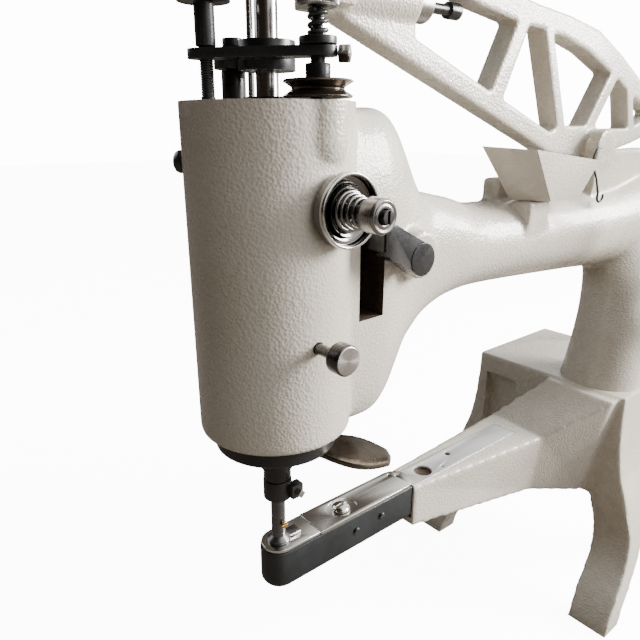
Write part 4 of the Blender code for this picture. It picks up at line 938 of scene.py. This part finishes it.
def tension_group(black):
    steel = turned_metal("tension_steel", TENSION, "Y", (0.36, 0.35, 0.34), 0.2, 0.25)
    lathe_piece("tension_stud", black, [(0, -68.0), (3.0, -68.0)] + threaded(3.0, -67.6, -46.0, 1.0, 0.3)
                + [(3.0, -30.0), (0, -30.0)], "Y", TENSION,
                [box((TENSION.x - 0.7, -80.0, TENSION.z - 9.0), (TENSION.x + 0.7, -57.0, TENSION.z + 9.0))],
                segments=56, edge=0.12)
    cup = turned_metal("tension_cup_nickel", TENSION, "Y", (0.20, 0.19, 0.18), 0.14, 0.35)
    lathe_piece("tension_cup", cup, [(3.4, -42.6), (14.6, -42.6), (14.8, -46.6), (16.0, -46.6),
                                     (16.0, -40.8), (14.0, -39.2), (3.4, -39.2)], "Y", TENSION,
                segments=128, edge=0.5)
    # Painted highlight: a band of bright nickel over the cup's lip, much lighter than the cup's own nickel.
    rim = turned_metal("tension_rim_painted_highlight", TENSION, "Y", (0.66, 0.65, 0.63), 0.12, 0.3)
    added_piece("tension_rim", rim, turned([(14.7, -45.6), (14.9, -46.7), (15.9, -46.7), (16.1, -45.6),
                                            (16.1, -44.4), (14.7, -44.4)], "Y", TENSION, 128, 0.2),
                "tension_cup")
    discs = [turned([(3.5, y), (radius - 1.5, y), (radius, y - 1.0), (radius, y - 1.5),
                     (radius - 1.7, y - 0.7), (3.5, y - 0.7)], "Y", TENSION, 112, 0.15)
             for radius, y in ((12.6, -42.9), (10.6, -44.1))]
    chrome = turned_metal("disc_chrome", TENSION, "Y", (0.15, 0.145, 0.14), 0.10, 0.3)
    added_piece("tension_discs", chrome, joined(discs), "tension_cup")
    spring = new_object("tension_coil", coil("Y", TENSION, -45.8, -55.7, 8.5, 4.8, 5.0, 0.7))
    settled(spring, turned_metal("spring_chrome", TENSION, "Y", (0.34, 0.33, 0.32), 0.16, 0.3),
            ["tension_spring"])
    lathe_piece("tension_nut", steel, [(3.4, -66.0), (4.6, -66.0), (5.0, -65.6), (6.4, -66.0), (7.4, -65.0),
                                       (7.4, -58.0), (5.6, -56.6), (3.4, -56.6)], "Y", TENSION,
                segments=128, edge=0.25)


def thumb_group():
    side = turned_metal("thumb_side", THUMB, "Y", (0.13, 0.125, 0.12), 0.22, 0.3)
    screw = lathe_piece("thumbscrew", side, [(0, -58.6), (6.2, -58.6), (7.0, -57.8), (7.0, -51.8),
                                             (6.4, -50.8), (4.0, -50.6), (2.9, -49.8), (2.6, -49.2),
                                             (2.6, -34.5), (0, -34.5)], "Y", THUMB, segments=128, edge=0.25)
    second_finish(screw, spun_face("thumb_face", (0.52, 0.51, 0.50), 0.26), lambda spot, _: spot.y < -58.45)


# --- nose and slide plate --------------------------------------------------------------------


def nose_group(nose, nickel, satin, black, steel):
    edged_piece("nose_housing", nose, 0.7)
    edged_piece("needle_plate", nickel, 0.3)
    edged_piece("nose_cover", nickel, 0.35)
    edged_piece("slide_plate", satin, 0.25)
    knob = centre_of("cover_knob")
    low = -66.6
    lathe_piece("cover_knob", nickel, [(0, low), (5.6, low), (5.6, low + 0.9), (5.0, low + 1.8),
                                       (3.8, low + 2.6), (2.0, low + 3.0), (0, low + 3.0)], "Z", knob,
                [box((knob.x - 8.0, -0.55, low + 1.7), (knob.x + 8.0, 0.55, low + 5.0))], segments=72,
                edge=0.4)
    for name in ("nose_screw_front", "nose_screw_rear"):
        place = centre_of(name)
        lathe_piece(name, black, [(0, -11.9), (1.4, -11.9), (2.0, -11.5), (2.0, -10.8), (0, -10.8)], "Y",
                    place, [box((place.x - 3.0, -13.0, place.z - 0.3),
                                (place.x + 3.0, -11.5, place.z + 0.3))], segments=36, edge=0.15)
    edged_piece("shuttle_hook", steel, 0.2)
    edged_piece("bobbin", satin, 0.15)
    edged_piece("shuttle_rack", steel, 0.4)


# --- lever fittings, drive and tray ----------------------------------------------------------


def lever_fittings(black):
    across = (0.0, 0.0, 213.0)
    nut = turned_metal("lever_nut_steel", across, "X", (0.30, 0.29, 0.27), 0.3)
    lathe_piece("lever_nut", nut, [(4.8, 87.4), (8.2, 87.4), (8.6, 87.9), (8.6, 98.0), (8.2, 98.5),
                                   (4.8, 98.5)], "X", across, segments=160, edge=0.25,
                knurl=(40, 0.4, 88.4, 97.6))
    lathe_piece("lever_bolt", black, [(0, 62.0), (4.4, 62.0)] + threaded(4.4, 84.0, 97.4)
                + [(2.8, 98.4), (2.8, 117.2), (4.3, 117.4), (4.3, 126.0), (0, 126.0)], "X", across,
                segments=64, edge=0.2)
    pin = turned_metal("pivot_steel", PIVOT, "Y", (0.42, 0.41, 0.40), 0.28)
    lathe_piece("pivot_pin", pin, [(0, -15.0), (6.0, -15.0), (6.0, 20.4), (8.5, 20.4), (8.5, 22.1),
                                   (7.6, 23.0), (0, 23.0)], "Y", PIVOT,
                [box((PIVOT.x - 10.0, 21.9, PIVOT.z - 0.8), (PIVOT.x + 10.0, 26.0, PIVOT.z + 0.8))],
                edge=0.4)
    lathe_piece("tail_pin", pin, [(0, -10.5), (6.0, -10.5), (6.0, -8.0), (4.0, -8.0), (4.0, 10.0),
                                  (0, 10.0)], "Y", TAIL, edge=0.5)


def drive_group(black):
    steel = turned_metal("shaft_steel", SHAFT, "Y", (0.50, 0.49, 0.48), 0.26)
    edged_piece("main_shaft", steel, 0.6)
    edged_piece("shaft_nut", steel, 0.6)
    grip_steel = turned_metal("grip_steel", GRIP, "Y", (0.52, 0.51, 0.50), 0.24)
    lathe_piece("grip_bolt", grip_steel, [(0, -150.0), (5.6, -150.0), (6.5, -149.2), (6.5, -147.0),
                                          (4.0, -147.0), (4.0, -76.0), (0, -76.0)], "Y", GRIP, edge=0.4)
    wood = blackened("grip_black", (0.024, 0.020, 0.018), 0.22)
    lathe_piece("crank_grip", wood, [(4.3, -146.6), (9.0, -146.6), (10.6, -144.6), (11.8, -139.0),
                                     (12.4, -128.0), (11.8, -117.0), (10.4, -106.0), (9.0, -98.0),
                                     (9.6, -94.6), (10.0, -92.2), (4.3, -92.2)], "Y", GRIP, segments=96,
                edge=1.4)
    for name in ("needle_rod", "shuttle_link", "rack_rocker"):
        edged_piece(name, black, 0.7)
    edged_piece("rocker_pin", steel, 0.4)


def tray_group(paint, steel, black):
    edged_piece("tray", paint, 0.9, 25.0, 4)
    edged_piece("tray_screw", steel, 0.3)
    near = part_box("wire_hook")[1].y / MM - ORIGIN.y - 0.8
    curl = [(259.0 + 4.0 * math.cos(a), near - 6.5, 107.5 + 4.0 * math.sin(a))
            for a in (math.radians(d) for d in range(150, 400, 25))]
    points = [(264.5, near, 139.5), (259.5, near, 138.5), (256.0, near, 133.0), (256.5, near - 1.0, 126.0),
              (256.0, near - 4.0, 119.0), (255.2, near - 6.0, 112.5)] + curl
    hook = new_object("wire_hook_bent", swept(catmull(points, 6), 0.8, 12))
    settled(hook, black, ["wire_hook"])


# --- assembly --------------------------------------------------------------------------------


def build():
    paint = cream_paint()
    rough_paint = cream_paint("cream_paint_lever", 1.35)
    black = blackened()
    bronze = dark_bronze()
    nickel = brushed_metal("nickel_plate", (0.80, 0.78, 0.74), 0.20, marks=0.2)
    satin = brushed_metal("satin_alloy", (0.93, 0.93, 0.94), 0.48)
    bar_steel = turned_metal("bar_steel", NEEDLE_LINE, "Z", (0.40, 0.385, 0.37), 0.15, 0.12)
    hook_steel = turned_metal("hook_steel", HOOK, "Z", (0.55, 0.54, 0.53), 0.24)

    arm_casting(paint)
    bed_casting(paint)
    needle_lever(rough_paint)
    hand_wheel(paint)
    presser_group(black, bar_steel)
    needle_group(bar_steel, black)
    ring_handle(bronze)
    head_fittings(black)
    post_group(black, bar_steel, bronze)
    tension_group(black)
    thumb_group()
    nose_group(blued_nose(), nickel, satin, black, hook_steel)
    lever_fittings(black)
    drive_group(black)
    tray_group(paint, bar_steel, black)


add_camera()
add_world()
add_floor()
add_area_light("key", (0.95, -0.75, 0.80), (-0.1, 0.0, 0.25), (0.6, 0.6), 74.0, (1.0, 0.985, 0.96))
add_area_light("window", (-0.6, 1.1, 0.9), (-0.1, 0.0, 0.25), (0.9, 0.6), 4.0, (0.94, 0.97, 1.0))
build()
